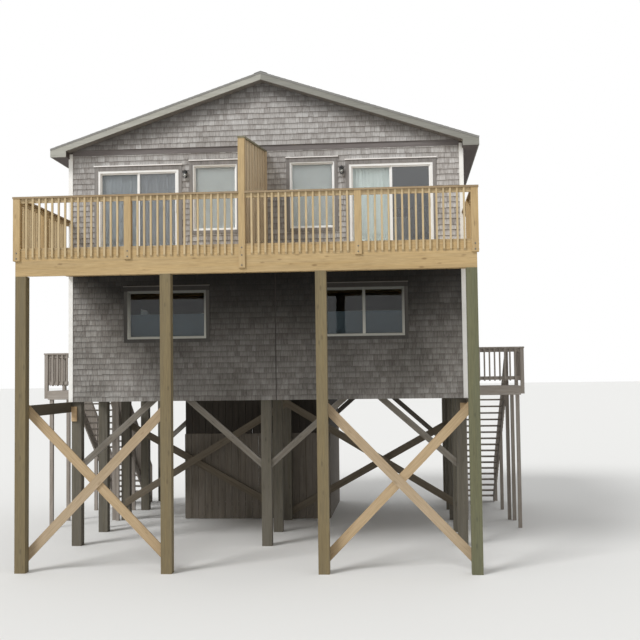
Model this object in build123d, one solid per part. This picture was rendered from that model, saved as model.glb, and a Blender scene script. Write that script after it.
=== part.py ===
from build123d import *
import math
import os

# Beach house on tall square pilings, with a timber deck across its front.
# Millimetres, +Z up. While it is modelled, X = 0 is the middle of the front wall, Y = 0 is the
# outer face of the front wall, the deck lies towards -Y, and Z = 0 is the ground.
# Each piece is moved at the end so that the origin is under the middle of the whole house.

# Boards used all over the house
lumber = 38.0
rail_board = 89.0
picket_size = 38.0
through = 1.0

# Pilings under the house, in rows across it
piling_size = 225.0
piling_inset = 24.0
row_inset = 60.0
piling_rows = 5
row_spacing = 2100.0

# House body
house_width = 9094.0
wall_thickness = 152.0
skirt_thickness = 38.0
siding_bottom_z = 3300.0
girder_height = 235.0
girder_thickness = 114.0
joist_height = 235.0
floor_board = 20.0
floor_joist_bays = 15
deck_step = 157.0
room_height = 2400.0
ceiling_thickness = 30.0

# Roof
roof_pitch = 1.0 / 3.0
roof_thickness = 170.0
eave_rise = 130.0
eave_overhang = 369.0
rake_overhang = 310.0
fascia_height = 195.0
fascia_thickness = 20.0
rake_thickness = 25.0
gable_proud = 30.0
band_height = 130.0
band_thickness = 18.0
ridge_cap_width = 300.0
ridge_cap_thickness = 20.0

# Trim
trim_thickness = 25.0
corner_board_width = 97.0

# Front deck
deck_overhang = 55.5
deck_projection = 3250.0
deck_post_size = 215.0
inner_post_x = 1548.0
deck_post_top_z = 5900.0
deck_beam_height = 305.0
deck_beam_thickness = 76.0
deck_joist_height = 220.0
deck_board = 38.0
deck_joist_bays = 22
rail_height = 1042.0
rail_post_size = 140.0
rail_post_x = 2300.0
cap_width = 140.0
cap_edge = 12.0
balusters_per_bay = 15
baluster_drop = 225.0

# Privacy screen in the middle of the deck
screen_post_width = 128.0
screen_post_drop = 480.0
screen_front_height = 2108.0
screen_wall_drop = 15.0
screen_thickness = 76.0
screen_wall_board = 184.0

# Braces
cross_brace_width = 184.0
cross_brace_top_z = 3275.0
cross_brace_bottom_z = 240.0
knee_width = 140.0
knee_thickness = 89.0
knee_drop = 1450.0
knee_reach = 1650.0
tie_height = 235.0
cleat_width = 128.0
cleat_top_z = 3192.0
cleat_length = 339.0
rising_brace_inner_z = 3120.0
rising_brace_outer_z = 470.0
falling_brace_inner_z = 160.0
falling_brace_outer_z = 2590.0

# Board enclosure under the house
storage_left_x = -2835.0
storage_right_x = 1134.0
storage_wall = 38.0
storage_gap = 76.0

# Doors and windows: outer width and height of the frames
slider_width = 1905.0
slider_height = 2037.0
slider_x = 2926.0
low_window_width = 1837.0
low_window_height = 1112.0
low_window_sill = 937.0
low_window_x = 2270.0
tall_window_width = 1027.0
tall_window_height = 1528.0
tall_window_x = 1126.0
tall_window_head = 2119.0
entry_width = 1000.0
entry_height = 2080.0
side_window_near_y = 2200.0
side_window_far_y = 6400.0
door_frame_edge = 55.0
window_frame_edge = 25.0
frame_proud = 12.0
frame_depth = 100.0
sash_width = 32.0
sash_depth = 40.0
sash_setback = 40.0
glass_thickness = 6.0
entry_leaf_thickness = 45.0
casing_width = 80.0
head_casing_height = 105.0
drip_cap_thickness = 18.0
drip_cap_lip = 8.0
drip_cap_proud = 45.0
drip_cap_end = 12.0

# Lanterns beside the sliding doors
lantern_x = 1810.0
lantern_rise = 1815.0
lantern_height = 190.0
lantern_radius = 55.0

# Side landings and stairs
landing_reach = 1512.0
landing_front_y = 2800.0
landing_depth = 1500.0
landing_surface_z = 3530.0
landing_board = 30.0
landing_rim_height = 200.0
landing_post = 89.0
landing_post_lift = 30.0
landing_rail_height = 975.0
landing_low_rail_rise = 150.0
landing_picket_rise = 125.0
picket_pitch = 135.0
stair_width = 950.0
stair_risers = 19
tread_run = 230.0
tread_thickness = 38.0
stringer_width = 286.0
handrail_rise = 900.0
handrail_width = 89.0
picket_lap = 150.0

# Worked out from the sizes above
half_width = house_width / 2
house_depth = 2 * row_inset + piling_size + (piling_rows - 1) * row_spacing
row_y = [row_inset + piling_size / 2 + i * row_spacing for i in range(piling_rows)]
piling_x = half_width - piling_inset - piling_size / 2
girder_top_z = siding_bottom_z + girder_height
joist_top_z = girder_top_z + joist_height
lower_floor_z = joist_top_z + floor_board
inner_x = half_width - wall_thickness
rear_inner_y = house_depth - wall_thickness
deck_half = half_width + deck_overhang
deck_front_y = -deck_projection
deck_beam_top_z = deck_post_top_z + deck_beam_height
deck_frame_top_z = deck_beam_top_z + deck_joist_height
deck_surface_z = deck_frame_top_z + deck_board
outer_post_x = deck_half - deck_post_size / 2
upper_floor_z = deck_surface_z + deck_step
storey_split_z = upper_floor_z - joist_height
ceiling_z = upper_floor_z + room_height
eave_x = half_width + eave_overhang
eave_top_z = ceiling_z + eave_rise
soffit_z = eave_top_z - fascia_height
ridge_z = eave_top_z + eave_x * roof_pitch
roof_drop = roof_thickness * math.sqrt(1 + roof_pitch ** 2)
roof_front_y = rake_thickness - rake_overhang
roof_rear_y = house_depth + rake_overhang - rake_thickness
band_top_z = ceiling_z + band_height
rail_top_z = deck_surface_z + rail_height
cap_bottom_z = rail_top_z - lumber
rail_post_inside = rail_post_size - lumber
screen_front_y = deck_front_y - lumber - cap_edge
landing_out_x = half_width + landing_reach
landing_rear_y = landing_front_y + landing_depth
landing_rim_top_z = landing_surface_z - landing_board
riser = landing_surface_z / stair_risers
stair_x = half_width + landing_reach / 2
stair_foot_y = landing_rear_y + (stair_risers - 1) * tread_run
stair_slope = (landing_rim_top_z - riser) / (stair_foot_y - landing_rear_y)
front_reach = deck_projection + lumber + cap_edge
rear_reach = house_depth + rake_overhang
origin_shift = (front_reach - rear_reach) / 2


def block(x0, x1, y0, y1, z0, z1):
    """A box between two corners."""
    middle = Pos((x0 + x1) / 2, (y0 + y1) / 2, (z0 + z1) / 2)
    return middle * Box(abs(x1 - x0), abs(y1 - y0), abs(z1 - z0))


def prism_xz(points, y0, y1):
    """An upright outline seen from the front, carried from y0 to y1."""
    outline = Wire.make_polygon([Vector(x, y0, z) for x, z in points])
    return Solid.extrude(Face(outline), Vector(0, y1 - y0, 0))


def prism_yz(points, x0, x1):
    """An upright outline seen from the side, carried from x0 to x1."""
    outline = Wire.make_polygon([Vector(x0, y, z) for y, z in points])
    return Solid.extrude(Face(outline), Vector(x1 - x0, 0, 0))


def fused(pieces):
    """Pieces that touch, joined into one solid."""
    first, *others = pieces
    return first.fuse(*others) if others else first


def mirrored(piece):
    """The same piece on the other side of the house."""
    return piece.mirror(Plane.YZ)


def both_sides(piece):
    return [piece, mirrored(piece)]


def spaced(start, end, count):
    """Places of count equal pieces between two ends, with equal gaps."""
    step = (end - start) / (count + 1)
    return [start + (i + 1) * step for i in range(count)]


def roof_under_z(x):
    """Height of the roof's underside at a distance from the ridge."""
    return ridge_z - roof_drop - abs(x) * roof_pitch


class Opening:
    """A door or window: its wall, its place along it, the outer size of its frame, and its panes."""

    def __init__(self, wall, along, sill_z, width, height, panes, edge):
        self.wall = wall
        self.along = along
        self.sill_z = sill_z
        self.width = width
        self.height = height
        self.panes = panes
        self.edge = edge

    def place(self, piece):
        """Move a piece made on the front wall at X = 0, Z = 0 to this opening."""
        places = {
            "front": Location((self.along, 0, self.sill_z)),
            "rear": Location((self.along, house_depth, self.sill_z), (0, 0, 180)),
            "right": Location((half_width, self.along, self.sill_z), (0, 0, 90)),
            "left": Location((-half_width, self.along, self.sill_z), (0, 0, -90)),
        }
        return piece.moved(places[self.wall])

    def is_door(self):
        return self.edge == door_frame_edge


def low_window(wall, along):
    return Opening(wall, along, lower_floor_z + low_window_sill, low_window_width, low_window_height,
                   2, window_frame_edge)


def tall_window(wall, along):
    sill_z = upper_floor_z + tall_window_head - tall_window_height
    return Opening(wall, along, sill_z, tall_window_width, tall_window_height, 1, window_frame_edge)


def small_window(wall, along, floor_z):
    """A window as wide as the tall ones and as high as the low ones, for the side walls."""
    return Opening(wall, along, floor_z + low_window_sill, tall_window_width, low_window_height,
                   1, window_frame_edge)


def slider(along):
    return Opening("front", along, upper_floor_z, slider_width, slider_height, 2, door_frame_edge)


def entry(wall):
    middle_y = landing_front_y + landing_depth / 2
    return Opening(wall, middle_y, lower_floor_z, entry_width, entry_height, 0, door_frame_edge)


sliders = [slider(-slider_x), slider(slider_x)]
front_windows = [low_window("front", -low_window_x), low_window("front", low_window_x),
                 tall_window("front", -tall_window_x), tall_window("front", tall_window_x)]
other_windows = [low_window("rear", -low_window_x), low_window("rear", low_window_x)]
other_windows += [tall_window("rear", x) for x in (-slider_x, -tall_window_x, tall_window_x, slider_x)]
for side in ("left", "right"):
    other_windows.append(small_window(side, side_window_far_y, lower_floor_z))
    other_windows.append(small_window(side, side_window_near_y, upper_floor_z))
    other_windows.append(small_window(side, side_window_far_y, upper_floor_z))
entries = [entry("left"), entry("right")]
front_openings = sliders + front_windows
other_openings = other_windows + entries


def cut_openings(wall_solid, wall, low_z, high_z):
    """The wall with a hole for each of its openings whose sill lies between two heights."""
    for opening in front_openings + other_openings:
        if opening.wall == wall and low_z <= opening.sill_z < high_z:
            half = opening.width / 2
            cut = block(-half, half, -wall_thickness, 2 * wall_thickness, 0, opening.height)
            wall_solid = wall_solid - opening.place(cut)
    return wall_solid


def ring(left, right, bottom, top, edge, y0, y1):
    """A rectangular frame whose members are edge wide."""
    outer = block(left, right, y0, y1, bottom, top)
    inner = block(left + edge, right - edge, y0 - through, y1 + through, bottom + edge, top - edge)
    return outer - inner


def pane_sashes(opening):
    """Left, right, bottom and top of each pane's sash inside the frame."""
    left = -opening.width / 2 + opening.edge
    step = (opening.width - 2 * opening.edge) / max(opening.panes, 1)
    return [(left + i * step, left + (i + 1) * step, opening.edge, opening.height - opening.edge)
            for i in range(opening.panes)]


def frame(opening):
    """The frame that fills the hole in the wall, with a sash round each pane, as one solid."""
    half = opening.width / 2
    pieces = [ring(-half, half, 0, opening.height, opening.edge, -frame_proud, frame_depth)]
    for left, right, bottom, top in pane_sashes(opening):
        pieces.append(ring(left, right, bottom, top, sash_width, sash_setback, sash_setback + sash_depth))
    return opening.place(fused(pieces))


def panes(opening):
    """The sheets of glass inside the sashes."""
    middle = sash_setback + sash_depth / 2
    sheets = []
    for left, right, bottom, top in pane_sashes(opening):
        sheet = block(left + sash_width, right - sash_width, middle - glass_thickness / 2,
                      middle + glass_thickness / 2, bottom + sash_width, top - sash_width)
        sheets.append(opening.place(sheet))
    return sheets


def casing(opening):
    """Weathered boards on the wall round a frame: sides, a deeper head, and a sill under a window."""
    half = opening.width / 2
    low = 0 if opening.is_door() else -casing_width
    outer = block(-half - casing_width, half + casing_width, -trim_thickness, 0, low,
                  opening.height + head_casing_height)
    inner_low = -through if opening.is_door() else 0
    inner = block(-half, half, -trim_thickness - through, through, inner_low, opening.height)
    return opening.place(outer - inner)


def drip_cap(opening):
    """A thin sloped cap on the head casing, a little wider than it."""
    reach = opening.width / 2 + casing_width + drip_cap_end
    low = opening.height + head_casing_height
    section = [(0, low), (0, low + drip_cap_thickness), (-drip_cap_proud, low + drip_cap_lip),
               (-drip_cap_proud, low)]
    return opening.place(prism_yz(section, -reach, reach))


def entry_leaf(opening):
    """A plain door leaf that fills its frame."""
    half = opening.width / 2 - opening.edge
    leaf = block(-half, half, sash_setback, sash_setback + entry_leaf_thickness, opening.edge,
                 opening.height - opening.edge)
    return opening.place(leaf)


def lantern(side):
    """A small six-sided wall lantern on a back plate, beside a sliding door."""
    plate_half = lantern_radius * 0.8
    plate = block(-plate_half, plate_half, -trim_thickness, 0, 0, lantern_height)
    centre_y = -trim_thickness - lantern_radius * math.cos(math.pi / 6)
    shoulder = lantern_height * 0.7
    foot = RegularPolygon(lantern_radius * 0.6, 6)
    wide = RegularPolygon(lantern_radius, 6)
    tip = RegularPolygon(lantern_radius * 0.2, 6)
    body = loft([Pos(0, centre_y, 0) * foot, Pos(0, centre_y, shoulder) * wide])
    hood = loft([Pos(0, centre_y, shoulder) * wide, Pos(0, centre_y, lantern_height) * tip])
    return fused([plate, body, hood]).moved(Location((side * lantern_x, 0, upper_floor_z + lantern_rise)))


def pilings(x):
    half = piling_size / 2
    return [block(x - half, x + half, y - half, y + half, 0, siding_bottom_z) for y in row_y]


def girders():
    """One built-up beam along each row of pilings."""
    reach = half_width - skirt_thickness
    half = girder_thickness / 2
    return [block(-reach, reach, y - half, y + half, siding_bottom_z, girder_top_z) for y in row_y]


def floor_frame():
    """Floor joists from front to rear, with a rim round them."""
    reach = half_width - skirt_thickness
    front = skirt_thickness
    rear = house_depth - skirt_thickness
    step = (2 * reach - lumber) / floor_joist_bays
    pieces = [block(-reach, reach, front, front + lumber, girder_top_z, joist_top_z),
              block(-reach, reach, rear - lumber, rear, girder_top_z, joist_top_z)]
    for i in range(floor_joist_bays + 1):
        x = -reach + i * step
        pieces.append(block(x, x + lumber, front + lumber, rear - lumber, girder_top_z, joist_top_z))
    return fused(pieces)


def lower_floor():
    reach = half_width - skirt_thickness
    return block(-reach, reach, skirt_thickness, house_depth - skirt_thickness, joist_top_z, lower_floor_z)


def across_wall(y0, y1, skirt_y0, skirt_y1, wall):
    """A lower wall across the house, with a thin skirt of siding over the floor's edge."""
    slab = block(-half_width, half_width, y0, y1, lower_floor_z, storey_split_z)
    skirt = block(-half_width, half_width, skirt_y0, skirt_y1, siding_bottom_z, lower_floor_z)
    return cut_openings(fused([slab, skirt]), wall, 0, storey_split_z)


def front_lower_wall():
    return across_wall(0, wall_thickness, 0, skirt_thickness, "front")


def rear_lower_wall():
    return across_wall(rear_inner_y, house_depth, house_depth - skirt_thickness, house_depth, "rear")


def upper_across_wall(y0, y1, wall):
    slab = block(-half_width, half_width, y0, y1, storey_split_z, ceiling_z)
    return cut_openings(slab, wall, storey_split_z, ceiling_z)


def right_lower_wall():
    slab = block(inner_x, half_width, wall_thickness, rear_inner_y, lower_floor_z, storey_split_z)
    skirt = block(half_width - skirt_thickness, half_width, skirt_thickness,
                  house_depth - skirt_thickness, siding_bottom_z, lower_floor_z)
    return cut_openings(fused([slab, skirt]), "right", 0, storey_split_z)


def right_upper_wall():
    """The upper side wall, cut to the slope of the roof at its top."""
    section = [(inner_x, storey_split_z), (half_width, storey_split_z),
               (half_width, roof_under_z(half_width)), (inner_x, roof_under_z(inner_x))]
    return cut_openings(prism_xz(section, wall_thickness, rear_inner_y), "right", storey_split_z, ceiling_z)


def gable(face_y, inward):
    """A gable wall, with a layer of shingles that stands proud above the band."""
    side_z = roof_under_z(half_width)
    wall = [(-half_width, ceiling_z), (half_width, ceiling_z), (half_width, side_z),
            (0, roof_under_z(0)), (-half_width, side_z)]
    proud_x = (roof_under_z(0) - band_top_z) / roof_pitch
    layer = [(-proud_x, band_top_z), (proud_x, band_top_z), (0, roof_under_z(0))]
    return fused([prism_xz(wall, face_y, face_y + inward * wall_thickness),
                  prism_xz(layer, face_y - inward * gable_proud, face_y)])


def gable_band(face_y, inward):
    """The board under the edge of the gable's shingles, from corner board to corner board."""
    end_x = half_width + trim_thickness - corner_board_width
    proud_x = (roof_under_z(0) - band_top_z) / roof_pitch
    outline = [(-end_x, ceiling_z), (end_x, ceiling_z), (end_x, roof_under_z(end_x)),
               (proud_x, band_top_z), (-proud_x, band_top_z), (-end_x, roof_under_z(end_x))]
    return prism_xz(outline, face_y - inward * band_thickness, face_y)


def roof_panel():
    edge_x = eave_x - fascia_thickness
    section = [(0, ridge_z), (edge_x, ridge_z - edge_x * roof_pitch), (edge_x, roof_under_z(edge_x)),
               (0, roof_under_z(0))]
    return prism_xz(section, roof_front_y, roof_rear_y)


def rake_pair(y0):
    """The two sloping boards on one gable end, mitred at the ridge, with the closed ends of the eaves."""
    section = [(0, ridge_z), (eave_x, eave_top_z), (eave_x, soffit_z), (half_width, soffit_z),
               (half_width, roof_under_z(half_width)), (0, roof_under_z(0))]
    return fused(both_sides(prism_xz(section, y0, y0 + rake_thickness)))


def fascia():
    inner = eave_x - fascia_thickness
    section = [(inner, soffit_z), (eave_x, soffit_z), (eave_x, eave_top_z),
               (inner, ridge_z - inner * roof_pitch)]
    return prism_xz(section, roof_front_y, roof_rear_y)


def soffit():
    """The closed underside of the eave, between the wall, the roof and the fascia."""
    edge_x = eave_x - fascia_thickness
    section = [(half_width, soffit_z), (edge_x, soffit_z), (edge_x, roof_under_z(edge_x)),
               (half_width, roof_under_z(half_width))]
    return prism_xz(section, roof_front_y, roof_rear_y)


def ridge_cap():
    half = ridge_cap_width / 2
    drop = half * roof_pitch
    section = [(0, ridge_z), (half, ridge_z - drop), (half, ridge_z - drop + ridge_cap_thickness),
               (0, ridge_z + ridge_cap_thickness), (-half, ridge_z - drop + ridge_cap_thickness),
               (-half, ridge_z - drop)]
    return prism_xz(section, -rake_overhang, house_depth + rake_overhang)


def corner_board(y, outward):
    """An L of two boards round a corner of the right wall; outward is -1 at the front, 1 at the rear."""
    outer_x = half_width + trim_thickness
    face = block(outer_x - corner_board_width, outer_x, y, y + outward * trim_thickness,
                 siding_bottom_z, soffit_z)
    flank = block(half_width, outer_x, y, y - outward * corner_board_width, siding_bottom_z, soffit_z)
    return fused([face, flank])


def deck_posts():
    half = deck_post_size / 2
    return [block(x - half, x + half, deck_front_y, deck_front_y + deck_post_size, 0, deck_post_top_z)
            for x in (-outer_post_x, -inner_post_x, inner_post_x, outer_post_x)]


def deck_beam():
    return block(-deck_half, deck_half, deck_front_y, deck_front_y + deck_beam_thickness,
                 deck_post_top_z, deck_beam_top_z)


def deck_frame():
    """Front rim, ledger and joists of the deck as one frame."""
    back = -trim_thickness
    pieces = [block(-deck_half, deck_half, deck_front_y, deck_front_y + lumber, deck_beam_top_z,
                    deck_frame_top_z),
              block(-deck_half, deck_half, back - lumber, back, deck_beam_top_z, deck_frame_top_z)]
    step = (2 * deck_half - lumber) / deck_joist_bays
    for i in range(deck_joist_bays + 1):
        x = -deck_half + i * step
        pieces.append(block(x, x + lumber, deck_front_y + lumber, back - lumber, deck_beam_top_z,
                            deck_frame_top_z))
    return fused(pieces)


def deck_floor():
    return block(-deck_half, deck_half, deck_front_y, -trim_thickness, deck_frame_top_z, deck_surface_z)


def front_rail_post(x):
    """A post notched over the rim: its outer face hangs in front, the rest stands on the deck."""
    half = rail_post_size / 2
    front = deck_front_y - lumber
    above = block(x - half, x + half, front, deck_front_y + rail_post_inside, deck_surface_z, cap_bottom_z)
    below = block(x - half, x + half, front, deck_front_y, deck_beam_top_z, deck_surface_z)
    return fused([above, below])


def corner_rail_post():
    """The corner post is notched over both rims."""
    inside_x = deck_half - rail_post_inside
    inside_y = deck_front_y + rail_post_inside
    whole = block(inside_x, deck_half + lumber, deck_front_y - lumber, inside_y, deck_beam_top_z,
                  cap_bottom_z)
    notch = block(inside_x - through, deck_half, deck_front_y, inside_y + through,
                  deck_beam_top_z - through, deck_surface_z)
    return whole - notch


def side_rail_post(y):
    half = rail_post_size / 2
    above = block(deck_half - rail_post_inside, deck_half + lumber, y - half, y + half, deck_surface_z,
                  cap_bottom_z)
    below = block(deck_half, deck_half + lumber, y - half, y + half, deck_beam_top_z, deck_surface_z)
    return fused([above, below])


def picket_section(outer, inner, low, high):
    """A picket seen from its side: square on top, its lower end cut on the slant."""
    return [(inner, low), (outer, low + abs(outer - inner)), (outer, high), (inner, high)]


def front_rail_bay(x0, x1):
    """Balusters outside the rim, joined by the rail behind their tops."""
    pieces = [block(x0, x1, deck_front_y, deck_front_y + lumber, cap_bottom_z - rail_board, cap_bottom_z)]
    section = picket_section(deck_front_y - picket_size, deck_front_y, deck_surface_z - baluster_drop,
                             cap_bottom_z)
    for x in spaced(x0, x1, balusters_per_bay):
        pieces.append(prism_yz(section, x - picket_size / 2, x + picket_size / 2))
    return fused(pieces)


def side_rail_bay(y0, y1):
    pieces = [block(deck_half - lumber, deck_half, y0, y1, cap_bottom_z - rail_board, cap_bottom_z)]
    section = picket_section(deck_half + picket_size, deck_half, deck_surface_z - baluster_drop,
                             cap_bottom_z)
    for y in spaced(y0, y1, int((y1 - y0) / picket_pitch)):
        pieces.append(prism_xz(section, y - picket_size / 2, y + picket_size / 2))
    return fused(pieces)


def rail_cap():
    """The flat cap on the right half of the rail, round the corner and back to the wall."""
    front = deck_front_y - lumber - cap_edge
    outer = deck_half + lumber + cap_edge
    along = block(screen_post_width / 2, outer, front, front + cap_width, cap_bottom_z, rail_top_z)
    back = block(outer - cap_width, outer, front, -trim_thickness, cap_bottom_z, rail_top_z)
    return fused([along, back])


def right_front_bays():
    inner_end = rail_post_x - rail_post_size / 2
    outer_end = rail_post_x + rail_post_size / 2
    return [front_rail_bay(screen_post_width / 2, inner_end),
            front_rail_bay(outer_end, deck_half - rail_post_inside)]


def side_post_y():
    return (deck_front_y - trim_thickness) / 2


def right_side_bays():
    front_end = side_post_y() - rail_post_size / 2
    rear_start = side_post_y() + rail_post_size / 2
    return [side_rail_bay(deck_front_y + rail_post_inside, front_end),
            side_rail_bay(rear_start, -trim_thickness)]


def screen_top_z(y):
    """Height of the underside of the screen's cap, which rises evenly from the post to the wall."""
    front_z = deck_surface_z + screen_front_height
    wall_z = ceiling_z - screen_wall_drop
    return wall_z + (wall_z - front_z) * y / -screen_front_y


def under_screen_cap(y0, y1, half):
    """A piece of the screen from the deck's surface up to the sloping cap."""
    outline = [(y0, deck_surface_z), (y1, deck_surface_z), (y1, screen_top_z(y1)), (y0, screen_top_z(y0))]
    return prism_yz(outline, -half, half)


def screen_post():
    """The tall post of the screen, notched over the rim and the beam."""
    half = screen_post_width / 2
    front = deck_front_y - lumber
    above = under_screen_cap(front, deck_front_y + rail_post_inside, half)
    below = block(-half, half, front, deck_front_y, deck_surface_z - screen_post_drop, deck_surface_z)
    return fused([above, below])


def screen_panel():
    """The boarded screen between its post and the board on the wall."""
    return under_screen_cap(deck_front_y + rail_post_inside, -lumber, screen_thickness / 2)


def screen_wall_end():
    """The upright board on the wall that the screen ends against."""
    return under_screen_cap(-lumber, 0, screen_wall_board / 2)


def screen_cap():
    """The sloping board over the post and the screen, up to the band under the gable."""
    outline = [(screen_front_y, screen_top_z(screen_front_y)),
               (-band_thickness, screen_top_z(-band_thickness)),
               (-band_thickness, screen_top_z(-band_thickness) + lumber),
               (screen_front_y, screen_top_z(screen_front_y) + lumber)]
    return prism_yz(outline, -cap_width / 2, cap_width / 2)


def slanted_board(x0, z0, x1, z1, y0):
    """A board across a bay with plumb ends, its centre line from (x0, z0) to (x1, z1)."""
    half = cross_brace_width / 2 * math.hypot(x1 - x0, z1 - z0) / abs(x1 - x0)
    outline = [(x0, z0 - half), (x1, z1 - half), (x1, z1 + half), (x0, z0 + half)]
    return prism_xz(outline, y0, y0 + lumber)


def deck_cross_braces(layer):
    """Layer 0 lies against the back of the deck's posts, and layer 1 crosses behind it."""
    y0 = deck_front_y + deck_post_size + layer * lumber
    heights = [cross_brace_top_z, cross_brace_bottom_z]
    inner_z, outer_z = heights if layer == 0 else reversed(heights)
    return both_sides(slanted_board(inner_post_x, inner_z, outer_post_x, outer_z, y0))


def rear_cross_braces():
    """Crossed boards on the third row of pilings, one on its front and one on its rear."""
    half = piling_size / 2
    rising = slanted_board(0, rising_brace_inner_z, piling_x, rising_brace_outer_z,
                           row_y[2] - half - lumber)
    falling = slanted_board(0, falling_brace_inner_z, piling_x, falling_brace_outer_z, row_y[2] + half)
    return both_sides(rising) + both_sides(falling)


def tie_beam():
    """A beam from a corner post of the deck back along the outer side of the first piling."""
    inner = half_width - piling_inset
    return block(inner, inner + lumber, deck_front_y + deck_post_size, row_inset + piling_size,
                 siding_bottom_z - tie_height, siding_bottom_z)


def piling_cleat():
    """A short board on the front of the first piling, beside the tie beam."""
    outer = half_width - piling_inset
    return block(outer - cleat_width, outer, row_inset - lumber, row_inset, cleat_top_z - cleat_length,
                 cleat_top_z)


def knee_brace(face_x, direction, y):
    """A brace from the side of a piling up to the girder; direction is the way it leans."""
    rise = knee_drop / knee_reach
    half_plumb = knee_width / 2 * math.sqrt(1 + rise ** 2)
    half_level = half_plumb / rise
    foot_z = siding_bottom_z - knee_drop
    head_x = face_x + direction * knee_reach
    outline = [(face_x, foot_z - half_plumb), (head_x + direction * half_level, siding_bottom_z),
               (head_x - direction * half_level, siding_bottom_z), (face_x, foot_z + half_plumb)]
    return prism_xz(outline, y - knee_thickness / 2, y + knee_thickness / 2)


def knee_braces():
    half = piling_size / 2
    braces = []
    for y in (row_y[0], row_y[-1]):
        braces += both_sides(knee_brace(half, 1, y))
        braces += both_sides(knee_brace(piling_x - half, -1, y))
    return braces


def storage_walls():
    """Four board walls round the store, from the ground to the girders."""
    front = row_y[2] + piling_size / 2 + storage_gap
    rear = row_y[-1] - piling_size / 2
    outer = block(storage_left_x, storage_right_x, front, rear, 0, siding_bottom_z)
    inner = block(storage_left_x + storage_wall, storage_right_x - storage_wall, front + storage_wall,
                  rear - storage_wall, -through, siding_bottom_z + through)
    return outer - inner


def landing_wall_posts():
    """Two posts of the right landing beside the wall, from the ground up to the cap of its rail."""
    x = half_width + trim_thickness
    top = landing_surface_z + landing_rail_height - lumber
    return [block(x, x + landing_post, y, y + landing_post, 0, top)
            for y in (landing_front_y + lumber, landing_rear_y - lumber - landing_post)]


def landing_outer_posts():
    """Two posts under the outer corners of the right landing, and two rail posts outside its rim."""
    under_x = landing_out_x - lumber - landing_post
    low = landing_rim_top_z - landing_rim_height + landing_post_lift
    top = landing_surface_z + landing_rail_height - lumber
    posts = [block(under_x, under_x + landing_post, y, y + landing_post, 0, landing_rim_top_z)
             for y in (landing_front_y + lumber, landing_rear_y - lumber - landing_post)]
    posts += [block(landing_out_x, landing_out_x + landing_post, y, y + landing_post, low, top)
              for y in (landing_front_y, landing_rear_y - landing_post)]
    return posts


def landing():
    """Boards and rim of the right landing, cut out round the posts beside the wall."""
    x0 = half_width
    x1 = landing_out_x
    y0 = landing_front_y
    y1 = landing_rear_y
    rim_low = landing_rim_top_z - landing_rim_height
    deck = block(x0, x1, y0, y1, rim_low, landing_surface_z)
    deck = deck - block(x0 + lumber, x1 - lumber, y0 + lumber, y1 - lumber, rim_low - through,
                        landing_rim_top_z)
    for post in landing_wall_posts():
        deck = deck - post
    return deck


def landing_panel(length):
    """A rail panel along X from 0 to length, standing on Z = 0, with its pickets on the -Y side."""
    top = landing_rail_height - lumber
    pieces = [block(0, length, 0, lumber, top - rail_board, top),
              block(0, length, 0, lumber, landing_low_rail_rise, landing_low_rail_rise + rail_board)]
    section = picket_section(-picket_size, 0, landing_picket_rise, top)
    for x in spaced(0, length, int(length / picket_pitch)):
        pieces.append(prism_yz(section, x - picket_size / 2, x + picket_size / 2))
    return fused(pieces)


def landing_rails():
    """Panels at the front and the outer edge of the right landing, between its posts."""
    front_x = half_width + trim_thickness + landing_post
    front_y = landing_front_y + picket_size
    side_x = landing_out_x + landing_post - picket_size
    side_y0 = landing_front_y + landing_post
    side_y1 = landing_rear_y - landing_post
    front = landing_panel(landing_out_x - front_x).moved(Location((front_x, front_y, landing_surface_z)))
    side = landing_panel(side_y1 - side_y0).moved(Location((side_x, side_y0, landing_surface_z), (0, 0, 90)))
    return [front, side]


def landing_cap():
    """The flat cap on the right landing's rail, in two boards that meet at the corner."""
    top = landing_surface_z + landing_rail_height
    cap_y = landing_front_y - cap_edge
    cap_x = landing_out_x + landing_post + cap_edge
    along = block(half_width + trim_thickness, cap_x, cap_y, cap_y + cap_width, top - lumber, top)
    back = block(cap_x - cap_width, cap_x, cap_y, landing_rear_y, top - lumber, top)
    return fused([along, back])


def on_slope(y, z):
    """Height at y of a line that runs down with the stair from height z at its head."""
    return z - stair_slope * (y - landing_rear_y)


def stair_flight():
    """Two stringers and the treads between them, from the landing down to the ground."""
    plumb = stringer_width * math.sqrt(1 + stair_slope ** 2)
    low_z = landing_rim_top_z - plumb
    foot_low_y = landing_rear_y + low_z / stair_slope
    outline = [(landing_rear_y, landing_rim_top_z), (stair_foot_y, riser), (stair_foot_y, 0),
               (foot_low_y, 0), (landing_rear_y, low_z)]
    left = stair_x - stair_width / 2
    right = stair_x + stair_width / 2
    pieces = [prism_yz(outline, left - lumber, left), prism_yz(outline, right, right + lumber)]
    for i in range(1, stair_risers):
        y = landing_rear_y + (i - 1) * tread_run
        z = landing_surface_z - i * riser
        pieces.append(block(left, right, y, y + tread_run, z - tread_thickness, z))
    return fused(pieces)


def handrail_under_z(y):
    thickness = lumber * math.sqrt(1 + stair_slope ** 2)
    return on_slope(y, landing_surface_z + handrail_rise) - thickness


def stair_post_starts():
    """Near edges of the three posts along a stair."""
    last = stair_foot_y - landing_post
    return [landing_rear_y, (landing_rear_y + last) / 2, last]


def stair_posts(side):
    """Posts beside one stringer, from the ground to the underside of the handrail."""
    inner = stair_x + side * (stair_width / 2 + lumber)
    posts = []
    for y in stair_post_starts():
        end = y + landing_post
        outline = [(y, 0), (end, 0), (end, handrail_under_z(end)), (y, handrail_under_z(y))]
        posts.append(prism_yz(outline, inner, inner + side * landing_post))
    return posts


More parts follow.
